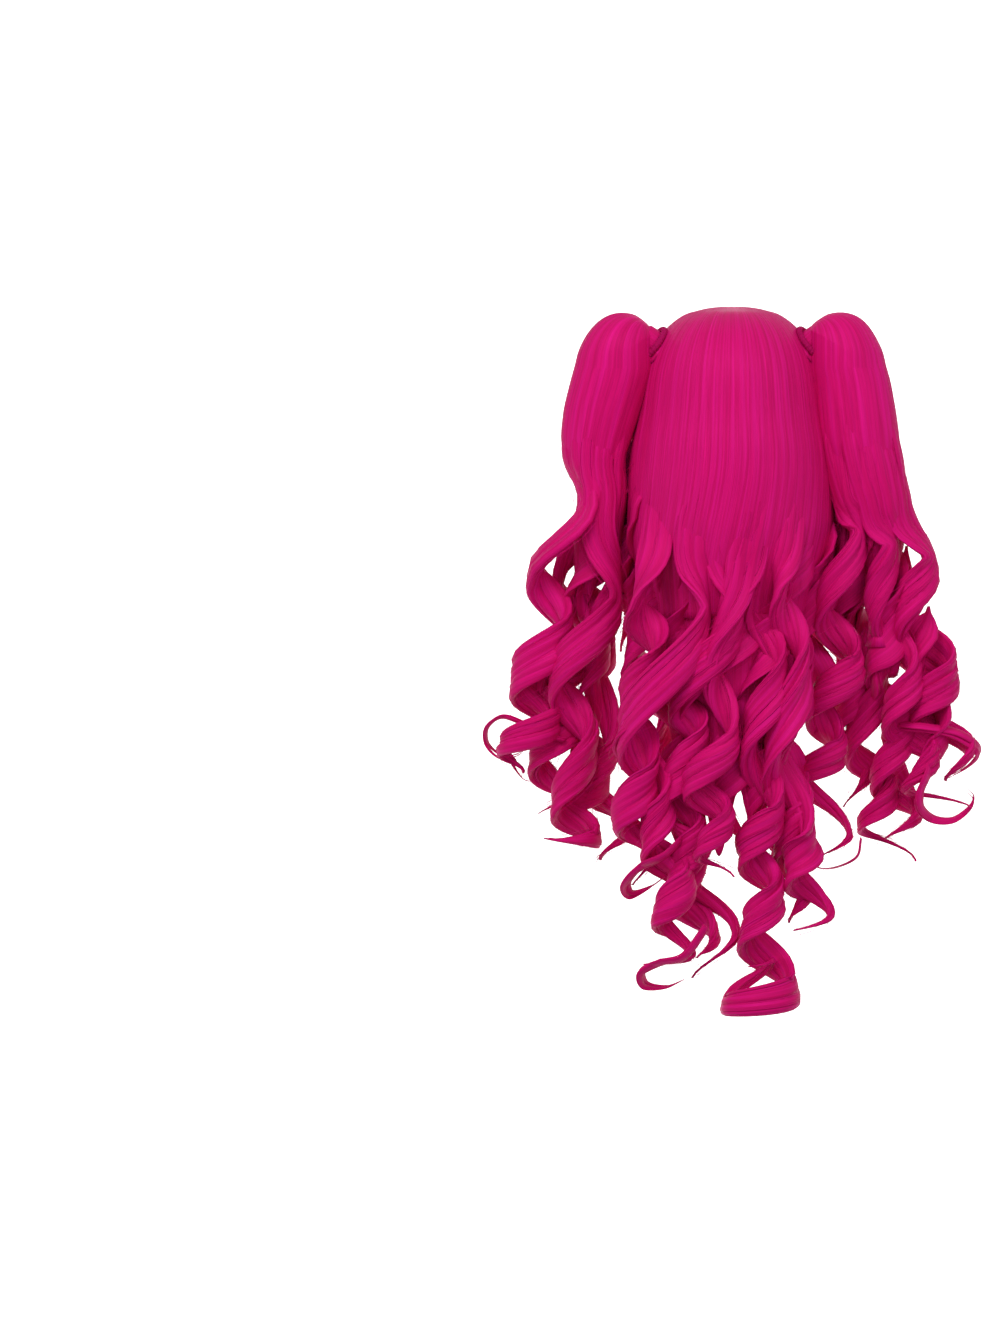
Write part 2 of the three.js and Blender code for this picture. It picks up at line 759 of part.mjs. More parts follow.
const materials = {
  hair: new THREE.MeshStandardMaterial({ color: 0xd2156c, roughness: 0.42, metalness: 0 }),
  cap: new THREE.MeshStandardMaterial({ color: 0x5a1034, roughness: 0.85, metalness: 0 }),
  elastic: new THREE.MeshStandardMaterial({ color: 0x8c0f4c, roughness: 0.7, metalness: 0 }),
};

const wig = new THREE.Group();

function addPiece(name, solid, material) {
  const mesh = new THREE.Mesh(toGeometry(solid), material);
  mesh.name = name;
  wig.add(mesh);
}

addPiece("cap", headWall(HOLLOW, CAP), materials.cap);
addPiece("crown_hair", headWall(CROWN_INNER, CROWN), materials.hair);
addPiece("fringe", fringeSolid(), materials.hair);
addPiece("back_hair", backHairSolid(), materials.hair);
for (const name of Object.keys(sides)) {
  addPiece(`side_lock_${name}`, sideLockSolid(name), materials.hair);
  addPiece(`pigtail_${name}`, pigtailSolid(name), materials.hair);
  addPiece(
    `tie_${name}`,
    mainBody(tieSolid(name, 0).subtract(headSolid(grownHead(CROWN, SEAT_GAP)))),
    materials.elastic,
  );
}

export default wig;
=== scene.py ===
"""Looks of the curly wig with two pigtails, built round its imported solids.

Shapes are worked out in millimetres, in the solids' own frame, and scaled to metres when a mesh is made.
The back of the wig faces -Y and the wearer's left is at -X.
"""

import math

import bpy
import numpy as np
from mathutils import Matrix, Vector


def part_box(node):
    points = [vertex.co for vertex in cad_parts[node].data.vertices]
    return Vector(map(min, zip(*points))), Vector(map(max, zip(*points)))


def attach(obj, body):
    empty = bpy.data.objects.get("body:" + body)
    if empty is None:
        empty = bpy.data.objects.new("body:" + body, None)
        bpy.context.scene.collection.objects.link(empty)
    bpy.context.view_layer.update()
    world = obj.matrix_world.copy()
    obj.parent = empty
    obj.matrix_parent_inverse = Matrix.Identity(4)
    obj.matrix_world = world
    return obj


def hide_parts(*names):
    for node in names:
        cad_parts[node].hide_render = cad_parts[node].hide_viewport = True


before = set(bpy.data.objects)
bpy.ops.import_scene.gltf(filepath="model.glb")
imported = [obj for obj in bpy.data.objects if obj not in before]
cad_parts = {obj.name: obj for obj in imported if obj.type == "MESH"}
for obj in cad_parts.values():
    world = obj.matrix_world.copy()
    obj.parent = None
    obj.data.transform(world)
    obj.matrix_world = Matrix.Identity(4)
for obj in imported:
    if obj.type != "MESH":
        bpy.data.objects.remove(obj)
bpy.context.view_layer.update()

MM = 0.001
PERCENT = 100
TURN = 2 * math.pi
SIDES = {"left": -1, "right": 1}
SEEDS = {"curtain": 5, "crown": 11, "left": 21, "right": 22, "front": 31, "wisps": 47, "inner": 60}
BACK_SEED = 100

# Picture: how its pixels map to the wig, in a frame of 1000 by 1333
FRAME_WIDTH = 1000
FRAME_HEIGHT = 1333
PIXEL_OF_MIDDLE = 730
PIXEL_OF_ORIGIN_HEIGHT = 316
CAMERA_ELEVATION = 4.0
CAMERA_LENS = 85.0
CAMERA_SENSOR = 36.0
FOCUS_Y = -60

# Head, cap and crown
_, CAP_HIGH = (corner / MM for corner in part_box("cap"))
CROWN_HEIGHT = 104
NAPE_HEIGHT = 90
CAP_WALL = 2
HEAD_ROUNDNESS = 2.5
RIM_POLAR_FRONT = 66
RIM_POLAR_BACK = 116
HAIR_GAP = 0.4
CROWN_HAIR_TOP = 8
CROWN_HAIR_SIDE = 14
CROWN_HAIR_BACK = 14
CROWN_HAIR_FRONT = 7
CAP = {"width": CAP_HIGH.x, "back": CAP_HIGH.y, "front": CAP_HIGH.y, "top": CROWN_HEIGHT + CAP_WALL}
CROWN = {
    "width": CAP["width"] + HAIR_GAP + CROWN_HAIR_SIDE,
    "back": CAP["back"] + HAIR_GAP + CROWN_HAIR_BACK,
    "front": CAP["front"] + HAIR_GAP + CROWN_HAIR_FRONT,
    "top": CAP["top"] + HAIR_GAP + CROWN_HAIR_TOP,
}
CROWN_SUNK = 0.3
CROWN_GRID = (34, 400)
CROWN_INNER_ROWS = [-1, 22, 12, 0]
CROWN_RIDGES = (0.05, 0.4)
CAP_GRID = (26, 96)
WHORL_SHARE = 0.02

# Fringe and the locks that frame the face
FRINGE = {"top": 36, "length": 66, "width": 34, "thickness": 8, "wave": 0, "steps": 30}
FRINGE_HALF_SPAN = 42
SIDE_LOCK = {"top": 60, "length": 175, "width": 38, "thickness": 10, "lean": 0, "wave": 9, "steps": 46}
SIDE_LOCK_AZIMUTH = 112
HANGING_RIBBONS = 6
HANGING_BITE = 3
HANGING_SIDES = 18
HANGING_SPREAD = 0.75
HANGING_WIDTH = 0.36
HANGING_THICKNESS = 0.55
HANGING_THIN = 0.5
HANGING_LAYER = 0.3
HANGING_ABOVE = 22
HANGING_JITTER = 9
HANGING_SHORTEST = 0.82
HANGING_SUNK = 3.4
HANGING_RISES = 26
HANGING_STRAYS = 0.1
HANGING_NARROWS = 0.4
HANGING_NARROWS_FROM = 0.55
HANGING_POINTED = 0.6

# Curtain behind the head
CURTAIN_TOP = 70
CURTAIN_LENGTH = 480
CURTAIN_THICKNESS = 26
CURTAIN_HALF_SPAN = 72
CURTAIN_ROWS = 50
CURTAIN_COLUMNS = 65
CURTAIN_LOWEST = 0.97
CURTAIN_FULL = 0.9
CURTAIN_THIN = 0.2
CURTAIN_THINS = (190, 300)
CURTAIN_UNEVEN = 70
CURTAIN_UNEVEN_AT = (400, 535)
CURTAIN_POINTS = 13
CURTAIN_TAKES_OVER = (60, 140)
CURTAIN_SIDE_EDGE = (78, 92)

# Sheet of hair that falls from the whorl over the curtain
SHEET_HALF_SPAN = 86
SHEET_FIRST_POLAR = 5
SHEET_ROWS = 26
SHEET_COLUMNS = 330
SHEET_LOW_COLUMNS = 60
SHEET_LOW = 300
SHEET_PROUD = 1.0
SHEET_INSIDE = -1.6
SHEET_EDGE_SUNK = 3.0
SHEET_EDGE_SPAN = 14
SHEET_RECEDES = 15
SHEET_RECEDES_FROM = 205
SHEET_RIDGES = (-12, 40)
SHEET_WAVES = (9, 17, 31)
SHEET_WAVES_STRAY = 1.2
SHEET_BROAD = 0.11
WHORL_SUNK = 2.0
WHORL_HEIGHTS = (1, 9)
CROWN_LEVEL = 1.02
CROWN_UPWARD = 1.1
CROWN_UPWARD_POWER = 1.5

# Locks behind the head
FALL_HALF_WIDTH = 100
FALL_BACK = 14
FALL_CURL_TOP = 200
FALL_CURL_LENGTH = 490
FALL_HALF_ROUND = 106
FALL_SPAN = 1.15
FALL_SWEEP = 13
FALL_SWEEPS = (130, 300)
LONG_LOCK_START = -300

# Pigtails
PIGTAIL_RISE = 3
PIGTAIL_OUT = 14
PIGTAIL_LENGTH = 350
PIGTAIL_HALF_WIDTH = 41
PIGTAIL_HALF_DEPTH = 36
PIGTAIL_BACK = 32
PIGTAIL_CURL_OUT = 22
PIGTAIL_CURL_TOP = 180
PIGTAIL_CURL_SPREAD = 120
PIGTAIL_CURL_LENGTH = 380
PIGTAIL_X = CROWN["width"] + PIGTAIL_OUT
LONG_PIGTAIL_START = -240
BUNDLE_LOCK_SPAN = 46
BUNDLE_DOWN = np.linspace(0, 1, 241)
BUNDLE_BLUR = 13
CORE_RINGS = 34
CORE_SIDES = 150
CORE_LOW = 330
CORE_RECEDES = 34
CORE_RECEDES_FROM = 110
DOME_SHARE = 0.16
DOME_FULL = 0.99
DOME_ENDS = (0.1, 0.16)
DOME_ROUNDNESS = 2.2
DOME_TURNS = 34
DOME_LEVEL = 1.05
ARCH_RINGS = 22
ARCH_START = 0.03
ARCH_END = 0.98
ARCH_RISES = 0.2
ARCH_RIDGES = (0.1, 0.5)
ARCH_DIP = 3
TOP_LEVELS = np.linspace(0.01, 1, 120) ** 2

# Ties
TIE_POLAR = 55
TIE_RADIUS = 15
TIE_CORD = 3.2
TIE_STEPS = 160
TIE_SIDES = 16
TIE_FOLDS = 34
TIE_RUCHE = 0.09
SEAT_GAP = 0.4
ROOT_ABOVE_SEAT = 8
NECK_SIDES = 40

# Curls, in millimetres and folds
LOCK_WIDTH = 42
LOCK_THICKNESS = 15
CURL_DEPTH_SHARE = 0.62
CURL_STEPS_PER_FOLD = 9
CURL_AHEAD = 0.1
FACING_TURNS = (0.15, 1.0)
FIRST_BEND_DEEPENS = (0.7, 1.3)
TIP_WIDTH = 0.05
TAPER_FROM = 0.62
TAPER_POWER = 1.3
LED_START = 0.85
START_WIDENS = (0, 0.18)

# Ribbons of a curl, as shares of its sizes
RIBBONS = 4
MOST_RIBBONS = 8
RIBBON_SPREAD = 0.55
RIBBON_WIDTH = 0.42
RIBBON_THICKNESS = 0.6
RIBBON_LAYER = 0.3
RIBBON_LIFTS = 0.3
RIBBON_STRAYS = 0.12
RIBBON_UNEVEN = 0.2
RIBBON_LAG = 0.45
RIBBON_LAG_CYCLES = 1.6
RIBBON_LAG_GROWS = (0.02, 0.3)
RIBBON_SHORTER = 0.12
RIBBON_SHORTENS = (0.5, 1.0)
RIBBON_TILT = 0.5
LEAST_REACH = 0.3
RIDGE_FINE = 0.13
RIDGE_BROAD = 0.16
RIDGE_WAVES = (3, 5, 8)
RIDGE_WAVES_STRAY = 1.5
WANDER_WAVES = 3
WANDER_CYCLES = (0.3, 2.5)

# Hair that leads into a curl
LEAD_SUNK = 4.6
LEAD_PROUD = 1.4
LEAD_WIDTH = 1.2
LEAD_JITTER = 34
INTO_ABOVE = 40
INTO_BELOW = 80
BACK_LEAD = {"top": -120, "overlap": 6, "count": 15, "rises": (160, 236), "latest": -0.5}
PIGTAIL_LEAD = {"top": -62, "overlap": 4, "count": 13, "rises": (85, 170), "latest": -0.6}

# Single strands on a lock, and loose hairs beside it
OUTER_LOCK = {"ribbons": RIBBONS, "sides": 38, "strands": 14, "loose": 7}
INNER_LOCK = {"ribbons": 2, "sides": 22, "strands": 0, "loose": 3}
STRAND_SIDES = 3
STRAND_THICKNESS = 0.45
STRAND_WIDTH = 2.4
STRAND_NARROWS = 0.7
STRAND_SUNK = 0.26
STRAND_STRAYS = 0.3
STRAND_SHIFT = 1000
LOOSE_WIDTH = 0.4
LOOSE_FLATNESS = 0.6
LOOSE_STRAYS = 0.5
LOOSE_BEYOND = (0.1, 1.2)
LOOSE_WAVERS = 0.8
LOOSE_REACH = 3
LOOSE_STEPS_ABOVE = 6

# Inner curls and wisps
INNER_FOLD = 66
INNER_FEWEST_FOLDS = 3
INNER_WIDTH = 0.95
INNER_REACH = 15
INNER_UNEVEN = (0.8, 1.2)
WISP_RIBBONS = 2
WISP_SIDES = 12
WISP_STEPS = 12
WISP_SHARE = 0.85
WISP_FLATNESS = 7
WISP_ASIDE = 0.2
WISP_STRAYS = 0.08
WISP_DEPTH_STRAYS = 8.0
WISP_COIL = 14
WISP_TILT = 0.8
WISP_TIP = 0.06
WISP_TAPERS = (0.45, 1)

# Colours, in linear light
HAIR_COLOUR = (0.68, 0.005, 0.160)
HAIR_LIGHT = (0.75, 0.007, 0.215)
HAIR_DEEP = (0.60, 0.004, 0.125)
HAIR_SHINE = (1.0, 0.10, 0.45)
STRAND_DARK = (0.82, 0.82, 0.82)
CLOTH_COLOURS = ((0.03, 0.004, 0.014), (0.12, 0.012, 0.05))
ELASTIC_COLOURS = ((0.30, 0.003, 0.07), (0.62, 0.005, 0.15))
STUDIO_WHITE = (0.9, 0.9, 0.9)
WHITE = (1.0, 1.0, 1.0)

# Noise on the hair: cycles a metre across it and along it, and its detail
LOCK_NOISE = (260, 5, 2.0)
STRAND_NOISE = (1100, 14, 3.0)

# Stage, in metres and watts
FLOOR_Z = -1.15
FLOOR_NEAR = 0.1
WALL_Y = 4.6
WALL_TOP = 3.0
STAGE_HALF_WIDTH = 4.0
STAGE_BEND = 0.8
STAGE_BEND_STEPS = 12

# Each row is a light: its name, size, power, place and aim
LIGHTS = [
    ("key", 0.9, 17, (-0.5, -1.5, 1.1), (0, 0, -0.2)),
    ("fill", 1.4, 10.5, (1.1, -1.5, 0.7), (0, 0, -0.35)),
    ("low", 0.6, 3.0, (-1.2, -0.9, -0.5), (-0.16, 0, -0.44)),
]

# Each row is a ring of the gathered hair inside a tie: its height over the crown and its radius
NECK_RINGS = [(-3, 24), (0, 19), (3, 15.5), (6, 14.6), (10, 14.6), (16, 14), (24, 8)]

# Each row is a level of the curtain: down, off, thick, span, as shares of its sizes
CURTAIN_LEVELS = [
    (0.0, 0.0, 0.6, 0.8), (0.042, 0.0, 0.68, 0.98), (0.11, 0.0, 0.85, 1.1), (0.19, 0.0, 0.98, 1.13),
    (0.28, 0.05, 0.95, 1.13), (0.375, 0.08, 0.85, 1.08), (0.48, 0.12, 0.7, 0.96), (0.6, 0.17, 0.6, 0.76),
    (0.8, 0.2, 0.45, 0.54), (1.0, 0.25, 0.3, 0.26),
]

# Each row is a lock of the fringe: turn, length and lean, as shares of its sizes
FRINGE_LOCKS = [
    (-1.0, 1.0, -0.12), (-0.67, 0.93, -0.06), (-0.33, 0.97, -0.08), (0.0, 0.9, 0.04),
    (0.33, 0.96, -0.02), (0.67, 0.92, 0.07), (1.0, 0.99, 0.1),
]

# Each row is a level of a pigtail: down, out and half-width, as shares
BUNDLE_LEVELS = {
    "left": [
        (0.0, 0.02, 0.1), (0.018, 0.02, 0.56), (0.042, 0.05, 0.78), (0.08, 0.1, 0.91),
        (0.18, 0.27, 1.0), (0.27, 0.49, 0.97), (0.36, 0.66, 0.88), (0.44, 0.71, 0.76),
        (0.52, 0.56, 0.72), (0.62, 0.7, 0.92), (0.75, 0.86, 0.92), (0.89, 0.84, 0.66),
        (1.0, 0.8, 0.3),
    ],
    "right": [
        (0.0, -0.02, 0.1), (0.018, -0.02, 0.56), (0.042, -0.03, 0.78), (0.08, 0.0, 0.91),
        (0.19, 0.24, 0.98), (0.28, 0.34, 1.02), (0.37, 0.43, 1.04), (0.48, 0.62, 1.02),
        (0.57, 0.92, 1.04), (0.68, 1.05, 1.0), (0.8, 1.02, 0.9), (0.92, 1.0, 0.6),
        (1.0, 1.0, 0.3),
    ],
}

# Each row is a curl: its width, how far back it starts and ends as shares, its turning points across and
# down in percent, and the share of its length where it starts to taper, if that is late
BACK_CURLS = [
    (1.15, (-0.1, 0.1), (-75, -90, -70, -102, -78, -108, -75, -96), (2, 17, 28, 41, 52, 61, 68, 75)),
    (1.05, (0.0, 0.2), (-38, -25, -105, -62, -80, -40, -70, -35, -84), (3, 19, 45, 56, 66, 73, 80, 88, 90)),
    (1.1, (-0.1, -0.2), (-8, 7, -54, -27, -62, -28, -54, 8, -38), (3, 21, 37.5, 45, 55, 63, 71, 83.5, 94)),
    (0.9, (0.0, 0.6), (12, -18, 4, -40, -2, -30, 6), (9, 30, 44, 53, 60, 67, 72)),
    (
        1.0, (-0.1, 0.3), (22, 14, 50, 20, 46, 15, 48, 17, 62, -2, 44, 12),
        (5, 17, 30, 45, 59, 67, 75, 83.5, 95, 98.2, 88.8, 90.5), 0.7,
    ),
    (1.0, (-0.1, 0.1), (60, 47, 72, 41, 79, 62, 100, 48), (3, 15, 28.6, 48, 64, 71, 80, 84)),
    (0.8, (-0.3, -0.4), (70, 50, 74, 50, 76, 60), (38, 48, 58, 67, 76, 82)),
    (0.8, (-0.2, -0.5), (-60, -30, -52, -14, -32), (60, 68, 77, 85, 90)),
]
PIGTAIL_CURLS = {
    "left": [
        (1.1, (0.3, 0.2), (-10, 56, 27, 70, 37, 83, 65), (-2, 21, 35, 49, 59.5, 66, 73.4)),
        (1.0, (0.5, 0.4), (2, -12.5, 37, 7, 36, 2, 50), (4, 27, 50, 65, 82, 92, 90), 0.82),
        (0.8, (-0.2, -0.1), (-5, -12, 7, -10, 10, -25, 0), (2, 22, 44.5, 66, 77, 88, 97)),
        (0.9, (-0.6, -0.9), (8, 37, 8, 53, 21, 46), (1, 25, 40.5, 56, 69.5, 80)),
        (0.9, (-0.2, -0.3), (30, 50, 22, 56, 30, 54), (40, 51, 60, 71, 80, 86)),
    ],
    "right": [
        (1.1, (0.2, 0.0), (21, 57, 33, 76, 46, 92, 71), (1, 16.5, 33, 46, 57, 67, 75)),
        (0.9, (0.4, 0.2), (8, 25, 10, 46, 23, 62, 36, 93), (2, 13, 30.5, 46, 58, 68, 77, 82)),
        (0.9, (0.5, 0.5), (-17, -2, -33, -3, -38, -18, -48, -8, -35), (-2, 10, 30, 44, 54, 66, 74, 89, 96)),
        (0.9, (-0.4, -0.3), (-8, -21, 17, -7, 27.5, 2, 48), (2, 27, 49, 67, 77, 88, 97)),
        (0.9, (-0.2, -0.2), (36, 14, 42, 14, 48, 20), (38, 50, 62, 74, 84, 92)),
        (0.8, (-0.8, -0.6), (-34, 8, -22, 8, -14), (33, 50, 62, 74, 84)),
    ],
}

# Where each pigtail curl's hair lies round the bundle above it, in degrees from its outer side
BUNDLE_ANGLES = {"left": [35, 95, 165, 270, 330], "right": [30, 85, 140, 235, 325, 280]}

# Each row is a curl inside the hair, seen only in gaps: x, y, top and bottom
INNER_CURLS = {
    "back": [
        (-80, -40, -120, -480), (-98, 14, -60, -340), (-106, -2, -80, -330), (-56, -72, -170, -540),
        (-28, -86, -170, -585), (4, -86, -170, -600), (34, -84, -170, -610), (60, -66, -170, -540),
        (84, -40, -120, -450), (98, 14, -60, -420), (106, -2, -80, -410), (-99, -6, -50, -320),
    ],
    "left": [
        (-118, -12, -110, -330), (-134, -8, -150, -400), (-140, -30, -150, -390), (-150, -20, -420, -530),
    ],
    "right": [
        (120, -12, -110, -480), (138, -8, -150, -500), (154, -30, -150, -430), (176, -22, -230, -500),
        (198, -30, -290, -470),
    ],
}

# Each row is a thin lock that curls away from the rest: width, depth behind the middle, and its points
WISPS = [
    (7, 40, [
        (-165, -426), (-190, -419), (-212, -406), (-230, -402), (-245, -414), (-245, -432), (-230, -445),
        (-212, -441), (-200, -428),
    ]),
    (7, 30, [
        (-170, -432), (-195, -421), (-215, -417), (-223, -429), (-222, -449), (-210, -467), (-198, -470),
    ]),
    (12, 36, [(170, -408), (198, -410), (228, -417), (249, -434), (240, -450), (211, -465)]),
    (14, 44, [
        (205, -430), (196, -458), (187, -478), (188, -494), (202, -505), (222, -506), (238, -495),
        (242, -484), (234, -475),
    ]),
    (5, 60, [(132, -520), (127, -537), (104, -550), (90, -552), (83, -541)]),
    (13, 110, [(-50, -520), (-66, -533), (-88, -544), (-102, -562), (-97, -575), (-80, -569), (-66, -556)]),
    (14, 120, [(-20, -600), (-42, -628), (-66, -635), (-84, -646), (-80, -661), (-60, -663), (-42, -654)]),
]


def smooth(value, low, high):
    """0 below low, 1 above high and a smooth step between them."""
    share = np.clip((value - low) / (high - low), 0, 1)
    return share * share * (3 - 2 * share)


def mix(a, b, share):
    return a + (b - a) * share


def unit(vectors):
    return vectors / np.maximum(np.linalg.norm(vectors, axis=-1, keepdims=True), 1e-9)


def full_turn(count):
    """Angles of so many places round a circle."""
    return np.linspace(0, TURN, count, endpoint=False)


def xyz(x, y, z):
    """Points from their coordinates."""
    return np.stack(np.broadcast_arrays(x, y, z), axis=-1)


def run_along(points):
    """The length run along each row of points."""
    return np.cumsum(np.linalg.norm(np.diff(points, axis=-2, prepend=points[..., :1, :]), axis=-1), axis=-1)


def side_by_side(count, spread):
    """So many places, evenly apart, from -spread to spread."""
    return ((np.arange(count) + 0.5) / count * 2 - 1) * spread


def alternate(count, size):
    """A size that is negative at every other place."""
    return np.where(np.arange(count) % 2, size, -size)


def wander(rng, count, places, size, fastest=WANDER_CYCLES[1]):
    """Smooth random curves, one a row, over places that run from 0 to 1."""
    total = np.zeros((count, len(places)))
    for _ in range(WANDER_WAVES):
        rate = rng.uniform(WANDER_CYCLES[0], fastest, (count, 1))
        phase = rng.uniform(0, TURN, (count, 1))
        total += np.sin(TURN * rate * places + phase)
    return total * size / WANDER_WAVES


def fine_ridges(rng, columns, along):
    """Heights of fine ridges that run along a body of hair, one a row."""
    return rng.uniform(-1, 1, (columns, 1)) * RIDGE_FINE + wander(rng, columns, along, RIDGE_FINE)


def ridges(rng, sides, along):
    """Heights of the ridges round a body of hair: fine ones that stay and broad ones that wander."""
    fine = fine_ridges(rng, sides, along)
    turn = full_turn(sides)[:, None]
    broad = np.zeros((sides, len(along)))
    for waves in RIDGE_WAVES:
        phase = rng.uniform(0, TURN) + wander(rng, 1, along, RIDGE_WAVES_STRAY)
        broad += np.sin(waves * turn + phase)
    return fine + broad * RIDGE_BROAD


class Hair:
    """Gathers closed tubes of hair, in millimetres, and makes one mesh of them."""

    def __init__(self):
        self.points = []
        self.quads = []
        self.quad_uv = []
        self.quad_smooth = []
        self.caps = []
        self.cap_uv = []
        self.count = 0

    def tubes(self, rings, across, along, flat_side=None):
        """Adds tubes of (tubes, steps, sides, 3) points, mapped by a side's width and the length run."""
        tubes, steps, sides, _ = rings.shape
        near = self.count + (np.arange(tubes)[:, None, None] * steps + np.arange(steps - 1)[:, None]) * sides
        far = near + sides
        side = np.arange(sides)
        following = (side + 1) % sides
        quads = np.stack([near + side, near + following, far + following, far + side], axis=-1)
        self.quads.append(quads.reshape(-1, 4))
        rounded = np.ones(quads.shape[:3], bool)
        if flat_side is not None:
            rounded[..., flat_side] = False
        self.quad_smooth.append(rounded.ravel())
        shape = (tubes, steps, sides)
        v = np.broadcast_to(along[..., None], shape)
        low = np.stack([across[..., None] * side + np.zeros(shape), v], axis=-1)
        high = np.stack([across[..., None] * (side + 1) + np.zeros(shape), v], axis=-1)
        uv = np.stack([low[:, :-1], high[:, :-1], high[:, 1:], low[:, 1:]], axis=-2)
        self.quad_uv.append(uv.reshape(-1, 2))
        first = self.count + np.arange(tubes)[:, None] * steps * sides
        self.caps.append(np.concatenate([first + side[::-1], first + (steps - 1) * sides + side]))
        self.cap_uv.append(np.concatenate([low[:, 0, ::-1], low[:, -1]]).reshape(-1, 2))
        self.points.append(rings.reshape(-1, 3))
        self.count += tubes * steps * sides

    def strands(self, centre, normal, width, thick, rng):
        """Adds flat strands with a ridge. Each row of points is the middle of one."""
        tangent = unit(np.gradient(centre, axis=1))
        across = unit(np.cross(tangent, normal))
        out = np.cross(across, tangent)
        half = width[..., None] / 2
        top = centre + out * thick[..., None]
        rings = np.stack([centre - across * half, top, centre + across * half], axis=2)
        shift = rng.uniform(0, STRAND_SHIFT, (centre.shape[0], 1))
        length = run_along(centre)
        self.tubes(rings, width / 2 + 0 * length, length + shift, flat_side=STRAND_SIDES - 1)

    def body(self, rings):
        """Adds one tube. rings is (steps, sides, 3)."""
        side = np.linalg.norm(np.diff(rings, axis=1), axis=-1).mean()
        self.tubes(rings[None], np.full((1, len(rings)), side), run_along(rings.mean(axis=1))[None])

    def make(self, name, material, slot, *nodes):
        """The gathered tubes as a piece that rides on the wig and stands for the named solids."""
        points = np.concatenate(self.points) * MM
        quads = np.concatenate(self.quads)
        loops = [quads.ravel()]
        sizes = [np.full(len(quads), 4)]
        rounded = [np.concatenate(self.quad_smooth)]
        for caps in self.caps:
            loops.append(caps.ravel())
            sizes.append(np.full(len(caps), caps.shape[1]))
            rounded.append(np.zeros(len(caps), bool))
        sizes = np.concatenate(sizes)
        starts = np.concatenate([[0], np.cumsum(sizes)[:-1]]).astype(np.int32)
        mesh = bpy.data.meshes.new(name)
        mesh.vertices.add(len(points))
        mesh.vertices.foreach_set("co", points.astype(np.float32).ravel())
        mesh.loops.add(sizes.sum())
        mesh.loops.foreach_set("vertex_index", np.concatenate(loops).astype(np.int32))
        mesh.polygons.add(len(sizes))
        mesh.polygons.foreach_set("loop_start", starts)
        mesh.update(calc_edges=True)
        layer = mesh.uv_layers.new(name="UVMap")
        uv = np.concatenate(self.quad_uv + self.cap_uv) * MM
        layer.data.foreach_set("uv", uv.astype(np.float32).ravel())
        mesh.polygons.foreach_set("use_smooth", np.concatenate(rounded))
        mesh.validate()
        mesh.materials.append(material)
        return ride(bpy.data.objects.new(name, mesh), slot, *nodes)


def ride(piece, slot, *nodes):
    bpy.context.scene.collection.objects.link(piece)
    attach(piece, "root")
    if nodes:
        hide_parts(*nodes)
    return piece


# Surfaces of the head


def reach_at(head, z):
    """How wide a head shape is at a height, as a share of its widest."""
    up = np.clip((z + CROWN_HEIGHT) / head["top"], 0, 1)
    return (1 - up**HEAD_ROUNDNESS) ** (1 / HEAD_ROUNDNESS)


def curtain_at(z, column):
    """A column of the curtain's table at a height."""
    down = np.array([CURTAIN_TOP + row[0] * CURTAIN_LENGTH for row in CURTAIN_LEVELS])
    return np.interp(-z, down, [row[column] for row in CURTAIN_LEVELS])


def sweep_at(azimuth, z):
    """How far the fall has swept to the left, in degrees."""
    return FALL_SWEEP * smooth(-z, *FALL_SWEEPS) * np.cos(np.radians(np.clip(azimuth, -90, 90)))


def hair_surface(azimuth, z, lift):
    """Points and normals on the hair behind the head, from the crown down. Azimuth is in degrees."""
    offset = HAIR_GAP + CURTAIN_THICKNESS * (curtain_at(z, 1) + curtain_at(z, 2))
    share = smooth(-z, *CURTAIN_TAKES_OVER) * (1 - smooth(np.abs(azimuth), *CURTAIN_SIDE_EDGE))
    width, length = (
        mix(CROWN[side] * reach_at(CROWN, z), CAP[side] * reach_at(CAP, z) + offset, share)
        for side in ("width", "back")
    )
    angle = np.radians(azimuth) - np.radians(sweep_at(azimuth, z))
    point = xyz(width * np.sin(angle), -length * np.cos(angle), z)
    rise = np.maximum(z + CROWN_HEIGHT, 0) / CROWN["top"]
    level = CROWN_LEVEL - rise**2
    upward = CROWN_UPWARD * rise**CROWN_UPWARD_POWER
    normal = unit(xyz(np.sin(angle) * level, -np.cos(angle) * level, upward))
    return point + normal * np.asarray(lift)[..., None], normal


def head_point(head, azimuth, polar):
    """A point on a head shape, at an azimuth and a polar angle in degrees."""
    a, p = np.radians(azimuth), np.radians(polar)
    reach = np.sin(p) ** (2 / HEAD_ROUNDNESS)
    cosine = np.cos(p)
    up = np.sign(cosine) * np.abs(cosine) ** (2 / HEAD_ROUNDNESS)
    height = np.where(cosine > 0, head["top"], NAPE_HEIGHT)
    length = np.where(np.cos(a) > 0, head["back"], head["front"])
    return xyz(head["width"] * reach * np.sin(a), -length * reach * np.cos(a), height * up - CROWN_HEIGHT)


def rim_polar(azimuth):
    """The polar angle of the cap's rim, in degrees."""
    return mix(RIM_POLAR_FRONT, RIM_POLAR_BACK, (1 + np.cos(np.radians(azimuth))) / 2)


def head_shell(outer, inner, rows, columns):
    """Rings of points on two head shapes, from the whorl down to the rim."""
    azimuth = np.linspace(0, 360, columns, endpoint=False)
    polar = np.linspace(WHORL_SHARE, 1, rows)[:, None] * rim_polar(azimuth)
    return [head_point(head, azimuth + 0 * polar, polar) for head in (outer, inner)]


def grown(head, by):
    return {side: size + by for side, size in head.items()}


# Curls


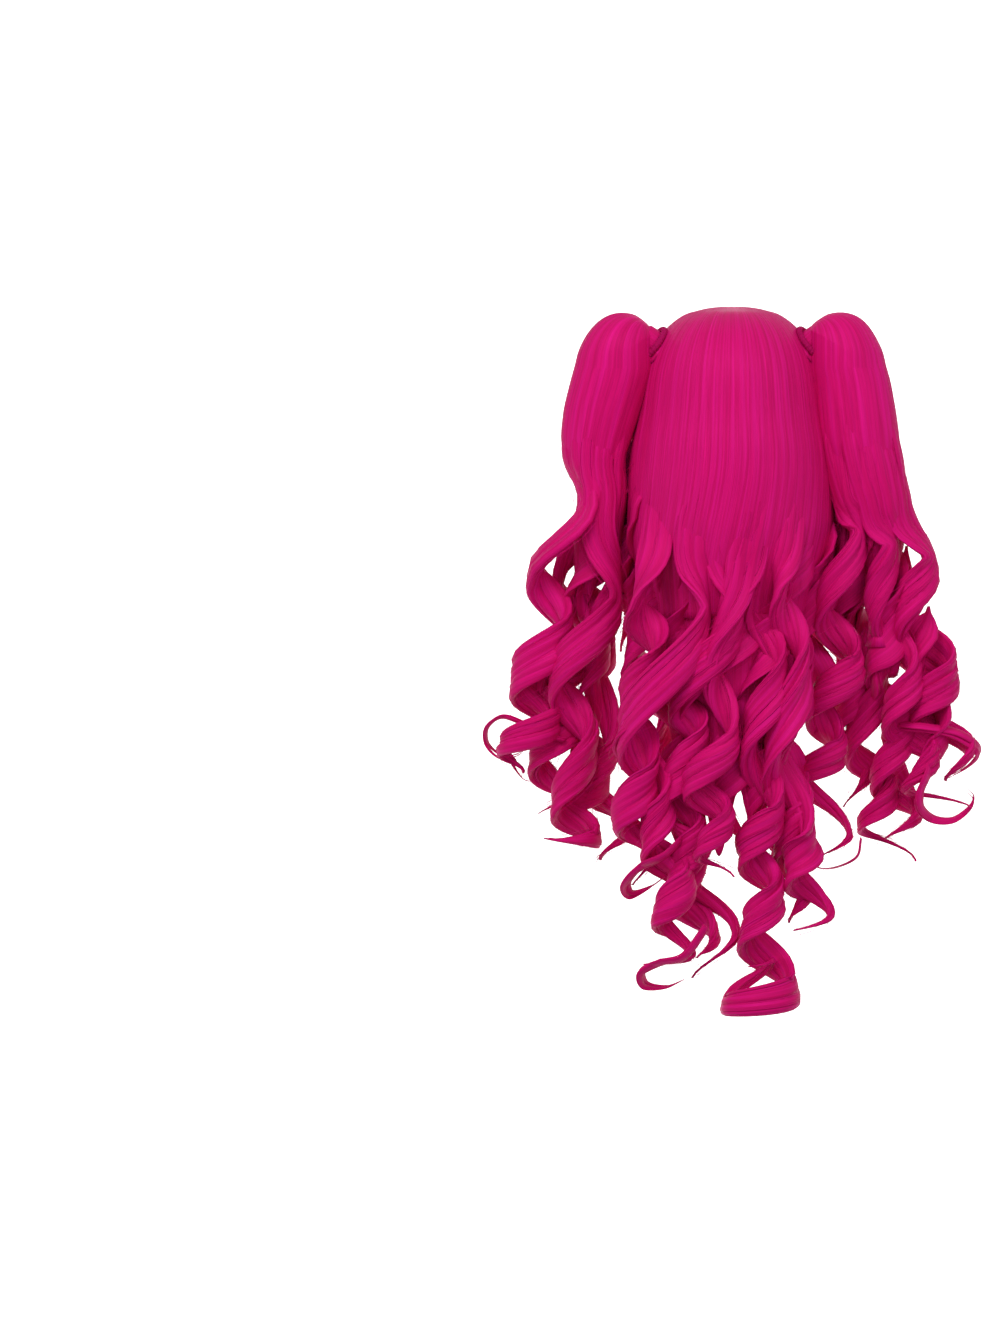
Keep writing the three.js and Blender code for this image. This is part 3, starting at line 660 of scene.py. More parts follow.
def sized_curl(row, origin, across_size, down_size, side, lies=0.0):
    """A row of a curl table in millimetres. The hair above the curl lies facing the angle lies."""
    wide, back, across, down, *taper = row
    x = origin[0] + side * np.array(across) * across_size / PERCENT
    z = origin[2] - np.array(down) * down_size / PERCENT
    taper = taper[0] if taper else TAPER_FROM
    return {"wide": wide, "back": back, "x": x, "z": z, "y": origin[1], "lies": lies, "taper": taper}


def last_fold(curl):
    return len(curl["x"]) - 1


def curl_steps(curl):
    return last_fold(curl) * CURL_STEPS_PER_FOLD + 1


def starts_right(curl):
    return curl["x"][0] > curl["x"][1]


def curl_facing(curl, at):
    """How far a ribbon has turned from facing backwards. It lies on the hair above it, and then winds."""
    first_bend = -math.pi / 2 if starts_right(curl) else math.pi / 2
    lies = curl["lies"] + TURN * round((first_bend - curl["lies"]) / TURN)
    lying = mix(lies, first_bend, smooth(at, *FACING_TURNS))
    return np.where(at < 1, lying, first_bend - math.pi * (at - 1))


def curl_path(curl, at):
    """Centre of a curl at places counted in folds."""
    last = last_fold(curl)
    fold = np.clip(np.floor(at).astype(int), 0, last - 1)
    share = at - fold
    x0, x1 = curl["x"][fold], curl["x"][fold + 1]
    z0, z1 = curl["z"][fold], curl["z"][fold + 1]
    turn = math.pi * (at + (0 if starts_right(curl) else 1))
    swing = (1 - np.cos(math.pi * share)) / 2
    reach = np.abs(x1 - x0) / 2 * CURL_DEPTH_SHARE
    if not starts_right(curl):
        reach = reach * smooth(at, *FIRST_BEND_DEEPENS)
    depth = mix(curl["back"][0], curl["back"][1], at / last) * LOCK_WIDTH
    return xyz(mix(x0, x1, swing), curl["y"] - depth - reach * np.sin(turn), mix(z0, z1, share))


def curl_frame(curl, at):
    """Centre of a curl, and the way that its ribbon faces."""
    facing = curl_facing(curl, at)
    outward = xyz(np.sin(facing), -np.cos(facing), 0)
    after = curl_path(curl, np.minimum(at + CURL_AHEAD, last_fold(curl)))
    before = curl_path(curl, np.maximum(at - CURL_AHEAD, 0))
    along = unit(after - before)
    return curl_path(curl, at), np.cross(unit(np.cross(along, outward)), along)


def curl_taper(curl, share, start):
    """A curl's width along its length: a share of it at the start, and a point at the end."""
    narrows = smooth(share, curl["taper"], 1.0) ** TAPER_POWER
    return mix(1, TIP_WIDTH, narrows) * mix(start, 1, smooth(share, *START_WIDENS))


def sub_ribbons(curl, rng, count, led):
    """The smaller ribbons that a curl is made of: centre, out and half sizes, one a row."""
    last = last_fold(curl)
    at = np.linspace(0, last, curl_steps(curl))
    share = at / last
    spot = side_by_side(count, RIBBON_SPREAD)
    layer = alternate(count, RIBBON_LAYER)
    lag = wander(rng, count, share, RIBBON_LAG, RIBBON_LAG_CYCLES) * smooth(share, *RIBBON_LAG_GROWS)
    short = 1 - rng.uniform(0, RIBBON_SHORTER, count)[:, None] * smooth(share, *RIBBON_SHORTENS)
    centre, out = curl_frame(curl, np.clip(at * short + lag, 0, last))
    taper = curl_taper(curl, share, LED_START if led else TIP_WIDTH)
    half_width = LOCK_WIDTH / 2 * curl["wide"] * taper * (1 + wander(rng, count, share, RIBBON_UNEVEN))
    half_thick = LOCK_THICKNESS / 2 * np.sqrt(taper) * (1 + wander(rng, count, share, RIBBON_UNEVEN))
    aside = (spot[:, None] + wander(rng, count, share, RIBBON_STRAYS)) * half_width
    beyond = (layer[:, None] + wander(rng, count, share, RIBBON_LIFTS)) * half_thick
    across = ribbon_across(centre, out)
    centre = centre - across * aside[..., None] + out * beyond[..., None]
    tilt = wander(rng, count, share, RIBBON_TILT)[..., None]
    return {
        "spot": spot,
        "centre": centre,
        "out": out * np.cos(tilt) - across * np.sin(tilt),
        "half_width": half_width * RIBBON_WIDTH * RIBBONS / count,
        "half_thick": half_thick * RIBBON_THICKNESS,
    }


def ribbon_across(centre, out):
    return unit(np.cross(np.gradient(centre, axis=1), out))


def new_lead(curl, sizes, surface, rng):
    """The hair above a curl: its heights on a surface, and where each ribbon rises out of it."""
    return {
        "heights": np.linspace(sizes["top"], curl["z"][0] + sizes["overlap"], sizes["count"]),
        "rises": sizes["rises"],
        "surface": surface,
        "early": rng.uniform(sizes["latest"], 1, MOST_RIBBONS) * LEAD_JITTER,
    }


def led_in(ribbons, curl, lead):
    """Ribbons with the hair above them, which lies in a surface and rises out of it into the curl."""
    count, top = len(ribbons["spot"]), len(lead["heights"])

    def continued(values):
        return np.concatenate([values[:, :1].repeat(top, axis=1), values], axis=1)

    centre = continued(ribbons["centre"])
    centre[:, :top, 2] = lead["heights"]
    z = centre[..., 2]
    half_thick = continued(ribbons["half_thick"])
    rise = mix(-LEAD_SUNK, LEAD_PROUD, smooth(-z + lead["early"][:count, None], *lead["rises"]))
    lying, normal = lead["surface"](ribbons["spot"][:, None] + 0 * z, z, rise - half_thick)
    into = smooth(-z, -curl["z"][0] - INTO_ABOVE, -curl["z"][0] + INTO_BELOW)[..., None]
    return {
        "centre": mix(lying, centre, into),
        "out": unit(mix(normal, continued(ribbons["out"]), into)),
        "half_width": continued(ribbons["half_width"]) * mix(LEAD_WIDTH, 1, into[..., 0]),
        "half_thick": half_thick,
    }


def on_ribbons(ribbons, ribbon, around, drift_across=0, drift_out=0, beyond=0):
    """Points and normals round chosen ribbons, at angles that may drift along their length."""
    centre, out = ribbons["centre"][ribbon], ribbons["out"][ribbon]
    across = ribbon_across(centre, out)
    u = np.cos(around)[:, None] + drift_across
    v = np.sin(around)[:, None] + drift_out
    size = np.maximum(np.sqrt(u**2 + v**2), LEAST_REACH)
    u, v = (u / size)[..., None], (v / size)[..., None]
    half_width = ribbons["half_width"][ribbon][..., None] * (1 + beyond)
    half_thick = ribbons["half_thick"][ribbon][..., None] * (1 + beyond)
    normal = unit(out * v / half_thick - across * u / half_width)
    return centre - across * u * half_width + out * v * half_thick, normal


def add_bodies(hair, ribbons, rng, sides):
    """The ribbons themselves, with ridges along them."""
    count, steps, _ = ribbons["centre"].shape
    for index in range(count):
        point, normal = on_ribbons(ribbons, np.full(sides, index), full_turn(sides))
        ridge = ridges(rng, sides, np.linspace(0, 1, steps))
        hair.body((point + normal * ridge[..., None]).transpose(1, 0, 2))


def add_strands(hair, ribbons, rng, strands):
    """Single strands that lie on the ribbons."""
    count, steps, _ = ribbons["centre"].shape
    along = np.linspace(0, 1, steps)
    ribbon = rng.integers(0, count, strands)
    drift = [wander(rng, strands, along, STRAND_STRAYS) for _ in range(2)]
    point, normal = on_ribbons(ribbons, ribbon, rng.uniform(0, TURN, strands), *drift)
    width = STRAND_WIDTH * (ribbons["half_width"][ribbon] / ribbons["half_width"].max()) ** STRAND_NARROWS
    hair.strands(point - normal * STRAND_SUNK, normal, width, np.full(width.shape, STRAND_THICKNESS), rng)


def add_loose_hairs(hair, ribbons, rng, loose, below):
    """Loose hairs beside the ribbons, from a step of them on."""
    part = {name: ribbons[name][:, below:] for name in ("centre", "out")}
    for name in ("half_width", "half_thick"):
        part[name] = np.maximum(ribbons[name][:, below:], LOOSE_REACH)
    count, steps, _ = ribbons["centre"].shape
    along = np.linspace(0, 1, steps)[below:]
    drift = [wander(rng, loose, along, LOOSE_STRAYS) for _ in range(2)]
    beyond = rng.uniform(*LOOSE_BEYOND, loose)[:, None] * (1 + wander(rng, loose, along, LOOSE_WAVERS))
    around = rng.uniform(0, TURN, loose)
    point, normal = on_ribbons(part, rng.integers(0, count, loose), around, *drift, beyond[..., None])
    width = np.full(point.shape[:2], LOOSE_WIDTH)
    hair.strands(point, normal, width, width * LOOSE_FLATNESS, rng)


def add_lock(hair, curl, rng, lead=None, made_of=OUTER_LOCK):
    """A lock: the ribbons of its curl, single strands on them and loose hairs beside them."""
    ribbons = sub_ribbons(curl, rng, made_of["ribbons"], lead is not None)
    if lead is not None:
        ribbons = led_in(ribbons, curl, lead)
    add_bodies(hair, ribbons, rng, made_of["sides"])
    if made_of["strands"]:
        add_strands(hair, ribbons, rng, made_of["strands"])
    above = ribbons["centre"].shape[1] - curl_steps(curl) - LOOSE_STEPS_ABOVE
    add_loose_hairs(hair, ribbons, rng, made_of["loose"], max(above, 0))


# The back of the wig


def back_lock(name, curl, rng, material):
    """A lock that comes out of the fall behind the head and ends in its curl."""
    hair = Hair()
    start_z = curl["z"][0]
    lead = None
    if start_z > LONG_LOCK_START:
        seat = math.degrees(math.asin(curl["x"][0] / FALL_HALF_ROUND))
        seat += float(sweep_at(seat, start_z))
        span = math.degrees(LOCK_WIDTH / 2 * curl["wide"] * FALL_SPAN / FALL_HALF_ROUND)

        def surface(rank, z, lift):
            return hair_surface(seat + rank * span, z, lift)

        lead = new_lead(curl, BACK_LEAD, surface, rng)
    add_lock(hair, curl, rng, lead)
    return hair.make(name, material, "hair")


def plain_curl(x, y, top, bottom, rng):
    """A curl of even folds round an upright line."""
    folds = max(INNER_FEWEST_FOLDS, round((top - bottom) / INNER_FOLD))
    side = np.where(np.arange(folds + 1) % 2, 1, -1) * rng.choice([-1, 1])
    side[0] = 0
    return {
        "wide": INNER_WIDTH,
        "back": (0, 0),
        "x": x + side * INNER_REACH * rng.uniform(*INNER_UNEVEN, folds + 1),
        "z": np.linspace(top, bottom, folds + 1),
        "y": y,
        "lies": 0.0,
        "taper": TAPER_FROM,
    }


def inner_curls(name, rows, material, rng):
    """The curls inside the hair, seen only in the gaps between the outer ones."""
    hair = Hair()
    for row in rows:
        add_lock(hair, plain_curl(*row, rng), rng, made_of=INNER_LOCK)
    return hair.make(name, material, "hair")


def smooth_path(points, steps):
    """Points along a smooth curve through a row's points."""
    points = np.array(points, float)
    padded = np.concatenate([2 * points[:1] - points[1:2], points, 2 * points[-1:] - points[-2:-1]])
    at = np.linspace(0, len(points) - 1, steps)
    first = np.minimum(at.astype(int), len(points) - 2)
    t = (at - first)[:, None]
    p0, p1, p2, p3 = (padded[first + shift] for shift in range(4))
    path = 2 * p1 + (p2 - p0) * t
    path += (2 * p0 - 5 * p1 + 4 * p2 - p3) * t**2
    path += (3 * (p1 - p2) + p3 - p0) * t**3
    return path / 2


def wisps(material):
    """The thin locks that curl away from the rest."""
    rng = np.random.default_rng(SEEDS["wisps"])
    hair = Hair()
    for width, back, points in WISPS:
        steps = WISP_STEPS * len(points)
        share = np.linspace(0, 1, steps)
        flat = smooth_path(points, steps)
        taper = mix(1, WISP_TIP, smooth(share, *WISP_TAPERS))
        for _ in range(WISP_RIBBONS):
            aside = rng.uniform(-WISP_ASIDE, WISP_ASIDE) * width
            x, z = (flat + aside + wander(rng, 2, share, WISP_STRAYS * width).T).T
            coil = WISP_COIL * np.sin(math.pi * 2 * share)
            y = -back + wander(rng, 1, share, WISP_DEPTH_STRAYS)[0] - coil
            centre = xyz(x, y, z)[None]
            tangent = unit(np.gradient(centre, axis=1))
            part = {
                "centre": centre,
                "out": unit(np.cross(tangent, np.array([0, 1.0, 0])) + np.array([0, -WISP_TILT, 0])),
                "half_width": (width / 2 * WISP_SHARE * taper)[None],
                "half_thick": (width / WISP_FLATNESS * taper)[None],
            }
            point, _ = on_ribbons(part, np.zeros(WISP_SIDES, int), full_turn(WISP_SIDES))
            hair.body(point.transpose(1, 0, 2))
    return hair.make("wisps", material, "hair")


def curtain_rings():
    """The thick body of hair behind the head, as rings from its top down to its uneven end."""
    rings = []
    lowest = -CURTAIN_TOP - CURTAIN_LENGTH * CURTAIN_LOWEST
    for level in np.linspace(-CURTAIN_TOP, lowest, CURTAIN_ROWS):
        half = CURTAIN_HALF_SPAN * curtain_at(level, 3)
        angle = np.radians(np.linspace(-half, half, CURTAIN_COLUMNS))
        full = (curtain_at(level, 1) + curtain_at(level, 2)) * CURTAIN_THICKNESS * CURTAIN_FULL
        outside = HAIR_GAP + full * mix(1, CURTAIN_THIN, smooth(-level, *CURTAIN_THINS))
        reach = reach_at(CAP, level)
        points = (1 + np.sin(CURTAIN_POINTS * angle)) / 2
        z = level + CURTAIN_UNEVEN * smooth(-level, *CURTAIN_UNEVEN_AT) * points

        def arc(offset):
            x = (CAP["width"] * reach + offset) * np.sin(angle)
            y = -(CAP["back"] * reach + offset) * np.cos(angle)
            return xyz(x, y, z)

        rings.append(np.concatenate([arc(outside)[::-1], arc(HAIR_GAP)]))
    return np.array(rings)


def sheet_rings(rng):
    """The fine sheet of hair that falls from the whorl over the curtain, as rings from its top down."""
    polar = np.radians(np.linspace(SHEET_FIRST_POLAR, 90, SHEET_ROWS))
    dome = CROWN["top"] * np.cos(polar) ** (2 / HEAD_ROUNDNESS) - CROWN_HEIGHT
    heights = np.concatenate([dome[:-1], np.linspace(-CROWN_HEIGHT, -SHEET_LOW, SHEET_ROWS)])
    along = np.linspace(0, 1, len(heights))
    azimuth = np.linspace(-SHEET_HALF_SPAN, SHEET_HALF_SPAN, SHEET_COLUMNS)[:, None]
    fine = fine_ridges(rng, SHEET_COLUMNS, along)
    for waves in SHEET_WAVES:
        phase = rng.uniform(0, TURN) + wander(rng, 1, along, SHEET_WAVES_STRAY)
        fine = fine + SHEET_BROAD * np.sin(waves * np.radians(azimuth) * 2 + phase)
    fine = fine * smooth(-heights, *SHEET_RIDGES)
    recede = SHEET_RECEDES * smooth(-heights, SHEET_RECEDES_FROM, SHEET_LOW)
    whorl = WHORL_SUNK * smooth(heights, *WHORL_HEIGHTS)

    def edge(azimuth):
        return SHEET_EDGE_SUNK * smooth(np.abs(azimuth), SHEET_HALF_SPAN - SHEET_EDGE_SPAN, SHEET_HALF_SPAN)

    lift = SHEET_PROUD + fine - recede - edge(azimuth) - whorl
    top, _ = hair_surface(azimuth + 0 * fine, heights, lift)
    low_azimuth = np.linspace(SHEET_HALF_SPAN, -SHEET_HALF_SPAN, SHEET_LOW_COLUMNS)[:, None]
    low_lift = SHEET_INSIDE - recede - edge(low_azimuth)
    under, _ = hair_surface(low_azimuth + 0 * low_lift, heights, low_lift)
    return np.concatenate([top, under]).transpose(1, 0, 2)[:, ::-1]


def curtain(material):
    """The hair behind the head: a thick body under a fine sheet."""
    hair = Hair()
    hair.body(curtain_rings())
    hair.body(sheet_rings(np.random.default_rng(SEEDS["curtain"])))
    return hair.make("curtain", material, "hair", "back_hair")


def crown(material):
    """The hair that lies on the cap, from the whorl to the rim."""
    rng = np.random.default_rng(SEEDS["crown"])
    rows, columns = CROWN_GRID
    outer, inner = head_shell(grown(CROWN, -CROWN_SUNK), grown(CAP, HAIR_GAP), rows, columns)
    along = np.linspace(WHORL_SHARE, 1, rows)
    ridge = fine_ridges(rng, columns, along).T * smooth(along, *CROWN_RIDGES)[:, None]
    outer = outer + unit(outer - np.array([0, 0, -CROWN_HEIGHT])) * ridge[..., None]
    hair = Hair()
    hair.body(np.concatenate([outer, inner[CROWN_INNER_ROWS]]))
    return hair.make("crown", material, "hair", "crown_hair")


def cap(material):
    """The cloth cap that holds the hair, open below."""
    outer, inner = head_shell(CAP, grown(CAP, -CAP_WALL), *CAP_GRID)
    shell = Hair()
    shell.body(np.concatenate([outer, inner[::-1]]))
    return shell.make("cap_cloth", material, "cap", "cap")


# Pigtails


def bundle_column(name, column):
    """A column of a pigtail's table at even steps down it, with its corners smoothed."""
    rows = np.array(BUNDLE_LEVELS[name])
    values = np.interp(BUNDLE_DOWN, rows[:, 0], rows[:, column])
    padded = np.pad(values, BUNDLE_BLUR // 2, mode="edge")
    return np.convolve(padded, np.ones(BUNDLE_BLUR) / BUNDLE_BLUR, "valid")


def bundle_at(name, z):
    """Middle and half-width of a pigtail's gathered hair at a height."""
    down = np.clip((PIGTAIL_RISE - z) / PIGTAIL_LENGTH, 0, 1)
    out, half = (np.interp(down, BUNDLE_DOWN, bundle_column(name, column)) for column in (1, 2))
    dome = (1 - np.clip(1 - down / DOME_SHARE, 0, 1) ** DOME_ROUNDNESS) ** (1 / DOME_ROUNDNESS)
    half = mix(dome * DOME_FULL, half, smooth(down, *DOME_ENDS))
    return SIDES[name] * (PIGTAIL_X + out * PIGTAIL_HALF_WIDTH), half


def bundle_surface(name, angle, z, lift):
    """Points and normals round a pigtail. Angle is in degrees from its outer side, by way of the back."""
    middle, half = bundle_at(name, z)
    turn = np.radians(angle) + 0 * z
    out = xyz(SIDES[name] * np.cos(turn), -np.sin(turn), 0)
    x = middle + out[..., 0] * (half * PIGTAIL_HALF_WIDTH + lift)
    y = -PIGTAIL_BACK + out[..., 1] * (half * PIGTAIL_HALF_DEPTH + lift)
    rise = smooth(z, PIGTAIL_RISE - DOME_TURNS, PIGTAIL_RISE)
    normal = unit(out * (DOME_LEVEL - rise)[..., None] + np.array([0, 0, 1.0]) * rise[..., None])
    return xyz(x, y, z), normal


def tie_frame(name):
    """Where a pigtail is gathered on the crown, and the way that its hair leaves the head there."""
    azimuth = SIDES[name] * math.degrees(math.atan2(CROWN["width"], PIGTAIL_BACK))
    seat = head_point(CROWN, azimuth, TIE_POLAR)
    return seat, unit(head_point(grown(CROWN, 1), azimuth, TIE_POLAR) - seat)


def round_tie(away, turn):
    """Directions round a tie, square to the way that the hair leaves the head."""
    across = unit(np.cross(away, np.array([0, 0, 1.0])))
    return across * np.cos(turn)[:, None] + np.cross(away, across) * np.sin(turn)[:, None]


def neck_rings(name):
    """The gathered hair between the crown and the pigtail, inside the tie."""
    seat, away = tie_frame(name)
    outward = round_tie(away, full_turn(NECK_SIDES))
    return np.array([seat + away * out + outward * radius for out, radius in NECK_RINGS])


def top_height(name, plan, lowest):
    """The height of a pigtail's top over places seen from above."""
    levels = mix(PIGTAIL_RISE, lowest, TOP_LEVELS)
    middle, half = bundle_at(name, levels)
    across = (plan[..., :1] - middle) / (half * PIGTAIL_HALF_WIDTH)
    deep = (plan[..., 1:] + PIGTAIL_BACK) / (half * PIGTAIL_HALF_DEPTH)
    beyond = np.hypot(across, deep) - 1
    last = np.where((beyond <= 0).any(axis=-1), np.argmax(beyond <= 0, axis=-1), len(levels) - 1)
    before = np.maximum(last - 1, 0)
    high = np.take_along_axis(beyond, before[..., None], axis=-1)[..., 0]
    low = np.take_along_axis(beyond, last[..., None], axis=-1)[..., 0]
    share = np.clip(high / np.maximum(high - low, 1e-9), 0, 1)
    return mix(levels[before], levels[last], share)


def arched_top(name, rim, relief):
    """The hair that rises from the tie and arches over the top of a pigtail, as rings that end at a rim."""
    seat, away = tie_frame(name)
    root = seat + away * ROOT_ABOVE_SEAT
    share = np.sin(np.linspace(ARCH_START, ARCH_END, len(relief)) * math.pi / 2)[:, None]
    plan = mix(root[:2], rim[:, :2], share[..., None])
    height = top_height(name, plan, rim[0, 2]) - ARCH_DIP * (1 - smooth(share, 0, ARCH_RISES))
    point = np.concatenate([plan, height[..., None]], axis=-1)
    outward = unit(point - rim.mean(axis=0))
    return point + outward * (relief * smooth(share, *ARCH_RIDGES))[..., None]


def core_rings(name, rng):
    """The gathered hair of a pigtail, as rings from the tie over its top and down inside its curls."""
    z = np.linspace(PIGTAIL_RISE - DOME_SHARE * PIGTAIL_LENGTH, -CORE_LOW, CORE_RINGS)
    relief = ridges(rng, CORE_SIDES, np.linspace(0, 1, ARCH_RINGS + CORE_RINGS)).T
    recede = CORE_RECEDES * smooth(-z, CORE_RECEDES_FROM, CORE_LOW)[:, None]
    angle = np.linspace(0, 360, CORE_SIDES, endpoint=False)
    rings, _ = bundle_surface(name, angle[None], z[:, None], relief[ARCH_RINGS:] - recede)
    rim, _ = bundle_surface(name, angle, z[0], 0)
    rings = np.concatenate([arched_top(name, rim, relief[:ARCH_RINGS]), rings])
    return rings if SIDES[name] < 0 else rings[:, ::-1]


def pigtail(name, material):
    """A pigtail: the gathered hair as its core, and a lock for each of its curls."""
    rng = np.random.default_rng(SEEDS[name])
    core = Hair()
    core.body(core_rings(name, rng))
    core.body(neck_rings(name))
    core.make(f"pigtail_core_{name}", material, "hair", f"pigtail_{name}")
    side = SIDES[name]
    origin = (side * (PIGTAIL_X + PIGTAIL_CURL_OUT), -PIGTAIL_BACK, -PIGTAIL_CURL_TOP)
    for index, (row, middle) in enumerate(zip(PIGTAIL_CURLS[name], BUNDLE_ANGLES[name])):
        lies = side * math.radians(90 - middle)
        curl = sized_curl(row, origin, PIGTAIL_CURL_SPREAD, PIGTAIL_CURL_LENGTH, side, lies)
        lead = None
        if curl["z"][0] > LONG_PIGTAIL_START:

            def surface(rank, z, lift):
                return bundle_surface(name, middle - side * rank * BUNDLE_LOCK_SPAN, z, lift)

            lead = new_lead(curl, PIGTAIL_LEAD, surface, rng)
        hair = Hair()
        add_lock(hair, curl, rng, lead)
        hair.make(f"pigtail_lock_{name}_{index + 1}", material, "hair")


def tie(name, material):
    """The elastic that gathers a pigtail: a ring of covered cord, ruched round its length."""
    seat, away = tie_frame(name)
    centre = seat + away * (TIE_CORD + SEAT_GAP)
    turn = np.linspace(0, TURN, TIE_STEPS + 1)
    around = full_turn(TIE_SIDES)
    cord = TIE_CORD * (1 + TIE_RUCHE * np.cos(TIE_FOLDS * turn))[:, None]
    radius = TIE_RADIUS + TIE_CORD + cord * np.cos(around)
    rise = cord * np.sin(around)
    hair = Hair()
    hair.body(centre + round_tie(away, turn)[:, None] * radius[..., None] + away * rise[..., None])
    return hair.make(f"elastic_{name}", material, "elastic", f"tie_{name}")


# The front of the wig


def hanging_ribbon(rng, lock, rank, layer, z):
    """A ribbon of a hanging lock, as rings from under the crown's hair down to a point."""
    share = np.clip((-lock["top"] - z) / lock["length"], 0, 1)
    own = np.linspace(0, 1, len(z))
    rises = smooth(z[0] - z, 0, HANGING_RISES)
    fallen = smooth(share, 0, 1)
    pointed = mix(1, TIP_WIDTH, smooth(own, HANGING_POINTED, 1))
    turn = full_turn(HANGING_SIDES)[:, None]
    relief = ridges(rng, HANGING_SIDES, own)
    half_thick = lock["thickness"] / 2
    seat = mix(-HANGING_BITE, HAIR_GAP, fallen) + half_thick * (1 + layer)
    swing = lock["wave"] * np.sin(TURN * share)
    thick = half_thick * HANGING_THICKNESS * mix(HANGING_THIN, 1, rises) * np.sqrt(pointed)
    offset = mix(-HANGING_SUNK, seat, rises) + swing + (thick + relief) * np.sin(turn)
    wide, long = (
        mix(CROWN[side] * reach_at(CROWN, z), CAP[side] * reach_at(CAP, z), fallen) + offset
        for side in ("width", "front")
    )
    half_span = math.degrees(lock["width"] / (CAP["width"] + CAP["front"]))
    narrows = mix(1, HANGING_NARROWS, smooth(share, HANGING_NARROWS_FROM, 1))
    spot = (rank + wander(rng, 1, own, HANGING_STRAYS)) * narrows - HANGING_WIDTH * pointed * np.cos(turn)
    angle = np.radians(lock["azimuth"] + lock["lean"] * share + spot * half_span)
    return xyz(wide * np.sin(angle), -long * np.cos(angle), z).transpose(1, 0, 2)


def hanging_lock(hair, rng, lock):
    """A lock of ribbons side by side that come out of the crown's hair and hang in front."""
    ranks = side_by_side(HANGING_RIBBONS, HANGING_SPREAD)
    for rank, layer in zip(ranks, alternate(HANGING_RIBBONS, HANGING_LAYER)):
        start = lock["top"] - HANGING_ABOVE + rng.uniform(-HANGING_JITTER, HANGING_JITTER)
        end = lock["top"] + lock["length"] * rng.uniform(HANGING_SHORTEST, 1)
        hair.body(hanging_ribbon(rng, lock, rank, layer, np.linspace(-start, -end, lock["steps"])))


def front(material):
    """The fringe, and the lock at each side of the face."""
    rng = np.random.default_rng(SEEDS["front"])
    fringe = Hair()
    for turn, long, lean in FRINGE_LOCKS:
        place = {
            "azimuth": 180 + turn * FRINGE_HALF_SPAN,
            "length": long * FRINGE["length"],
            "lean": lean * FRINGE_HALF_SPAN,
        }
        hanging_lock(fringe, rng, FRINGE | place)
    fringe.make("fringe_locks", material, "hair", "fringe")
    for name, side in SIDES.items():
        side_hair = Hair()
        hanging_lock(side_hair, rng, SIDE_LOCK | {"azimuth": side * SIDE_LOCK_AZIMUTH})
        side_hair.make(f"face_lock_{name}", material, "hair", f"side_lock_{name}")


# Materials


def new_material(name):
    material = bpy.data.materials.new(name)
    material.use_nodes = True
    tree = material.node_tree
    return material, tree.nodes, tree.links, tree.nodes["Principled BSDF"]


def fill_in(node, values):
    """Gives a node's inputs their values."""
    for name, value in values.items():
        node.inputs[name].default_value = value


def stretched_noise(nodes, links, across, along, detail):
    """Noise on the mesh's map, with so many cycles a metre across a strand and along it."""
    place = nodes.new("ShaderNodeTexCoord")
    stretch = nodes.new("ShaderNodeMapping")
    fill_in(stretch, {"Scale": (across, along, 1)})
    links.new(place.outputs["UV"], stretch.inputs["Vector"])
    noise = nodes.new("ShaderNodeTexNoise")
    fill_in(noise, {"Scale": 1.0, "Detail": detail, "Roughness": 0.6})
    links.new(stretch.outputs["Vector"], noise.inputs["Vector"])
    return noise.outputs["Fac"]


def ramp(nodes, links, value, stops):
    """A colour ramp through stops of (position, colour)."""
    node = nodes.new("ShaderNodeValToRGB")
    elements = node.color_ramp.elements
    for _ in stops[2:]:
        elements.new(0.5)
    for element, (position, colour) in zip(elements, stops):
        element.position = position
        element.color = (*colour, 1)
    links.new(value, node.inputs["Fac"])
    return node.outputs["Color"]


def multiply(nodes, links, first, second):
    node = nodes.new("ShaderNodeMix")
    node.data_type = "RGBA"
    node.blend_type = "MULTIPLY"
    fill_in(node, {"Factor": 1.0})
    links.new(first, node.inputs["A"])
    links.new(second, node.inputs["B"])
    return node.outputs["Result"]


def add_bump(nodes, links, shader, height, distance):
    bump = nodes.new("ShaderNodeBump")
    fill_in(bump, {"Strength": 0.5, "Distance": distance})
    links.new(height, bump.inputs["Height"])
    links.new(bump.outputs["Normal"], shader.inputs["Normal"])


def hair_material():
    """Satin hair, streaked along its length. The mesh's map runs across a strand in U and along it in V."""
    material, nodes, links, shader = new_material("hair")
    shader.inputs["Anisotropic"].default_value = 0.6
    shader.inputs["Specular IOR Level"].default_value = 0.35
    shader.inputs["Specular Tint"].default_value = (*HAIR_SHINE, 1)
    locks = stretched_noise(nodes, links, *LOCK_NOISE)
    strands = stretched_noise(nodes, links, *STRAND_NOISE)
    base = ramp(nodes, links, locks, [(0.36, HAIR_DEEP), (0.5, HAIR_COLOUR), (0.64, HAIR_LIGHT)])
    fine = ramp(nodes, links, strands, [(0.36, STRAND_DARK), (0.6, WHITE)])
    links.new(multiply(nodes, links, base, fine), shader.inputs["Base Color"])
    rough = nodes.new("ShaderNodeMapRange")
    fill_in(rough, {"To Min": 0.42, "To Max": 0.62})
    links.new(strands, rough.inputs["Value"])
    links.new(rough.outputs["Result"], shader.inputs["Roughness"])
    add_bump(nodes, links, shader, strands, 0.0008)
    tangent = nodes.new("ShaderNodeTangent")
    tangent.direction_type = "UV_MAP"
    tangent.uv_map = "UVMap"
    links.new(tangent.outputs["Tangent"], shader.inputs["Tangent"])
    return material


